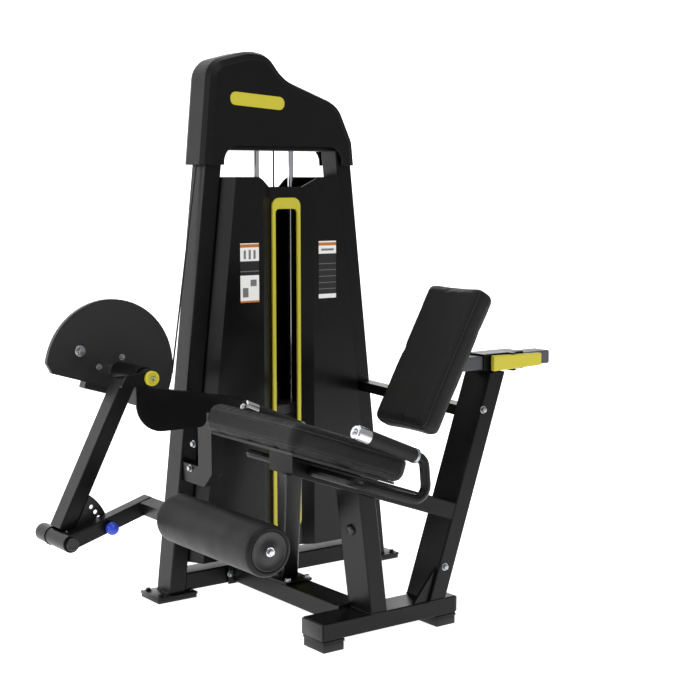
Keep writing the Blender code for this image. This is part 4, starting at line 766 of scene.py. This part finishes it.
def plates(name, node, body, count):
    """Splits a CAD block of plates into separate slabs with a thin gap between them."""
    low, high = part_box(node)
    pitch = (high.z - low.z) / count
    bm = bmesh.new()
    for number in range(count):
        known = set(bm.verts)
        outer = bmesh.ops.create_grid(bm, x_segments=1, y_segments=1, size=0.5)["verts"]
        bmesh.ops.scale(bm, vec=(high.x - low.x, high.y - low.y, 1), verts=outer)
        faces = once(f for v in outer for f in v.link_faces)
        bmesh.ops.delete(bm, geom=faces, context="FACES_ONLY")
        for x, radius in PLATE_HOLES:
            bmesh.ops.create_circle(bm, cap_ends=False, segments=20, radius=radius,
                                    matrix=Matrix.Translation((x, 0, 0)))
        fresh = [v for v in bm.verts if v not in known]
        edges = once(e for v in fresh for e in v.link_edges)
        filled = bmesh.ops.triangle_fill(bm, use_beauty=True, edges=edges)
        faces = [f for f in filled["geom"] if isinstance(f, bmesh.types.BMFace)]
        raised = bmesh.ops.extrude_face_region(bm, geom=faces, use_keep_orig=True)
        bmesh.ops.translate(bm, vec=(0, 0, pitch - PLATE_GAP),
                            verts=[v for v in raised["geom"] if isinstance(v, bmesh.types.BMVert)])
        fresh = [v for v in bm.verts if v not in known]
        rim = [e for v in fresh for e in v.link_edges
               if abs(e.verts[0].co.z - e.verts[1].co.z) < 1e-6 and e.calc_face_angle(0) > 1
               and max(abs(e.verts[0].co.y), abs(e.verts[1].co.y)) > 0.03]
        bmesh.ops.bevel(bm, geom=once(rim), offset=PLATE_BEVEL, offset_type="OFFSET",
                        affect="EDGES", segments=2, profile=0.5, material=-1)
        spot = ((low.x + high.x) / 2, (low.y + high.y) / 2, low.z + PLATE_GAP / 2 + number * pitch)
        settle(bm, known, Matrix.Translation(spot), 0)
    return piece(name, bm, [stack_paint], body, [node])


plates("resting_slabs", "resting_plates", "frame", 10)
plates("lifted_slabs", "lifted_plates", "weights", 5)

# %% [markdown]
# ## Lift cable
# The cable hangs from the second pulley to the stack's head, and its free length shortens as
# the stack rises. The strand rides on the frame, and a pressed steel ferrule rides with the stack.

# %% Strand and ferrule
cable_low, cable_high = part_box("lift_cable")
cable_x, cable_y = (cable_low.x + cable_high.x) / 2, (cable_low.y + cable_high.y) / 2
cable_length, STRAND_R, STACK_TRAVEL, RINGS = cable_high.z - cable_low.z, 0.0025, 0.35, 40
cable_foot = facing(Vector((cable_x, cable_y, cable_low.z)), (0, 0, 1))
bm = bmesh.new()
strand_side = [(STRAND_R, cable_length * step / RINGS) for step in range(RINGS + 1)]
lathe(bm, [(0, 0), *strand_side, (0, cable_length)], cable_foot, 12)
strand = piece("lift_cable_strand", bm, [cable_skin], "frame", ["lift_cable"])
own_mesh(strand)
bm = bmesh.new()
lathe(bm, [(0, 0.0002), (0.0068, 0.0002), (0.0072, 0.0008), (0.0072, 0.014), (0.0050, 0.0165),
           (0.0050, 0.040), (0.0040, 0.044), (0.0027, 0.044), (0.0027, 0.010), (0, 0.010)],
      cable_foot, 32)
piece("cable_ferrule", bm, [zinc], "weights")

# %% Screws that hold the rear shroud
bm = bmesh.new()
for x, z in ((0.155, 1.130), (0.215, 0.640), (0.272, 0.145)):
    for sign in (1, -1):
        lathe(bm, [(0, 0), (0.0075, 0), (0.0072, 0.0012), (0.0052, 0.0028), (0.0026, 0.0034),
                   (0.0022, 0.0018), (0, 0.0018)], facing(at(sign * x, 0.0770, z), (0, 1, 0)), 24)
piece("rear_shroud_screws", bm, [zinc], "frame")

# %% [markdown]
# ## Printed panels
# Two thin films on the shroud's wings carry a manufacturer's pictures and notes. Here they are
# plain bands of colour: one plate, cut across by bisect_plane, with a finish for each band.


# %% Panels
PANEL_W, PANEL_LOW, PANEL_HIGH, WING_Y = 0.061, 0.818, 0.982, -0.077
PANEL_FINISHES = [label_white, label_black, label_grey, label_orange]


def panel(name, x, bands, marks):
    """A thin film on the shroud's wing; bands are (lowest share, finish number) from the bottom up,
    and marks are plain grey blocks, (across, share of the height, width, height)."""
    tall = PANEL_HIGH - PANEL_LOW
    bm = bmesh.new()
    block(bm, (PANEL_W, tall, 0.0008), Matrix.Identity(4), 0.0003, 1)
    for share, _ in bands[1:]:
        bmesh.ops.bisect_plane(bm, geom=bm.verts[:] + bm.edges[:] + bm.faces[:],
                               plane_co=(0, (share - 0.5) * tall, 0), plane_no=(0, 1, 0))
    for face in bm.faces:
        share = face.calc_center_median().y / tall + 0.5
        face.material_index = [number for start, number in bands if start <= share + 1e-6][-1]
    for across, share, width, height in marks:
        spot = Matrix.Translation((across, (share - 0.5) * tall, 0.0005))
        block(bm, (width, height, 0.0002), spot, 0.0001, 1, 2)
    middle = at(x, WING_Y - 0.0005, (PANEL_LOW + PANEL_HIGH) / 2)
    bmesh.ops.transform(bm, matrix=facing(middle, (0, -1, 0), (1, 0, 0)), verts=bm.verts)
    return piece(name, bm, PANEL_FINISHES, "frame")


panel("left_panel", -0.132,
      [(0, 3), (0.03, 0), (0.46, 1), (0.52, 2), (0.535, 1), (0.70, 0), (0.93, 3), (0.985, 0)],
      [(-0.016, 0.81, 0.007, 0.024), (0.0, 0.81, 0.007, 0.026), (0.016, 0.81, 0.007, 0.024),
       (-0.014, 0.17, 0.018, 0.026), (0.012, 0.33, 0.020, 0.018)])
panel("right_panel", 0.132,
      [(0, 0), (0.075, 1), (0.16, 2), (0.17, 1), (0.27, 2), (0.28, 1), (0.38, 2), (0.39, 1),
       (0.49, 2), (0.50, 1), (0.60, 2), (0.61, 1), (0.78, 0), (0.92, 3), (0.975, 0)],
      [(0.0, 0.85, 0.044, 0.006)])

# %% [markdown]
# ## Top cover
# A fine raised rim runs round the cover's front face, where a moulded cover's parting line
# would be. It is the line where a plane just behind that face cuts the cover, as a thin cord.

# %% The rim of the cover's front
bm = bmesh.new()
bm.from_mesh(nodes["top_cover"].data)
bmesh.ops.remove_doubles(bm, verts=bm.verts, dist=1e-5)
front_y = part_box("top_cover")[0].y + 0.0006
rim_loops = cut_line(bm, front_y, (0, 1, 0))
bm.free()
print("cover rim loops", [len(loop) for loop in rim_loops])
cord_along("cover_rim", rim_loops[:1], 0.0009, cover_abs, "frame")
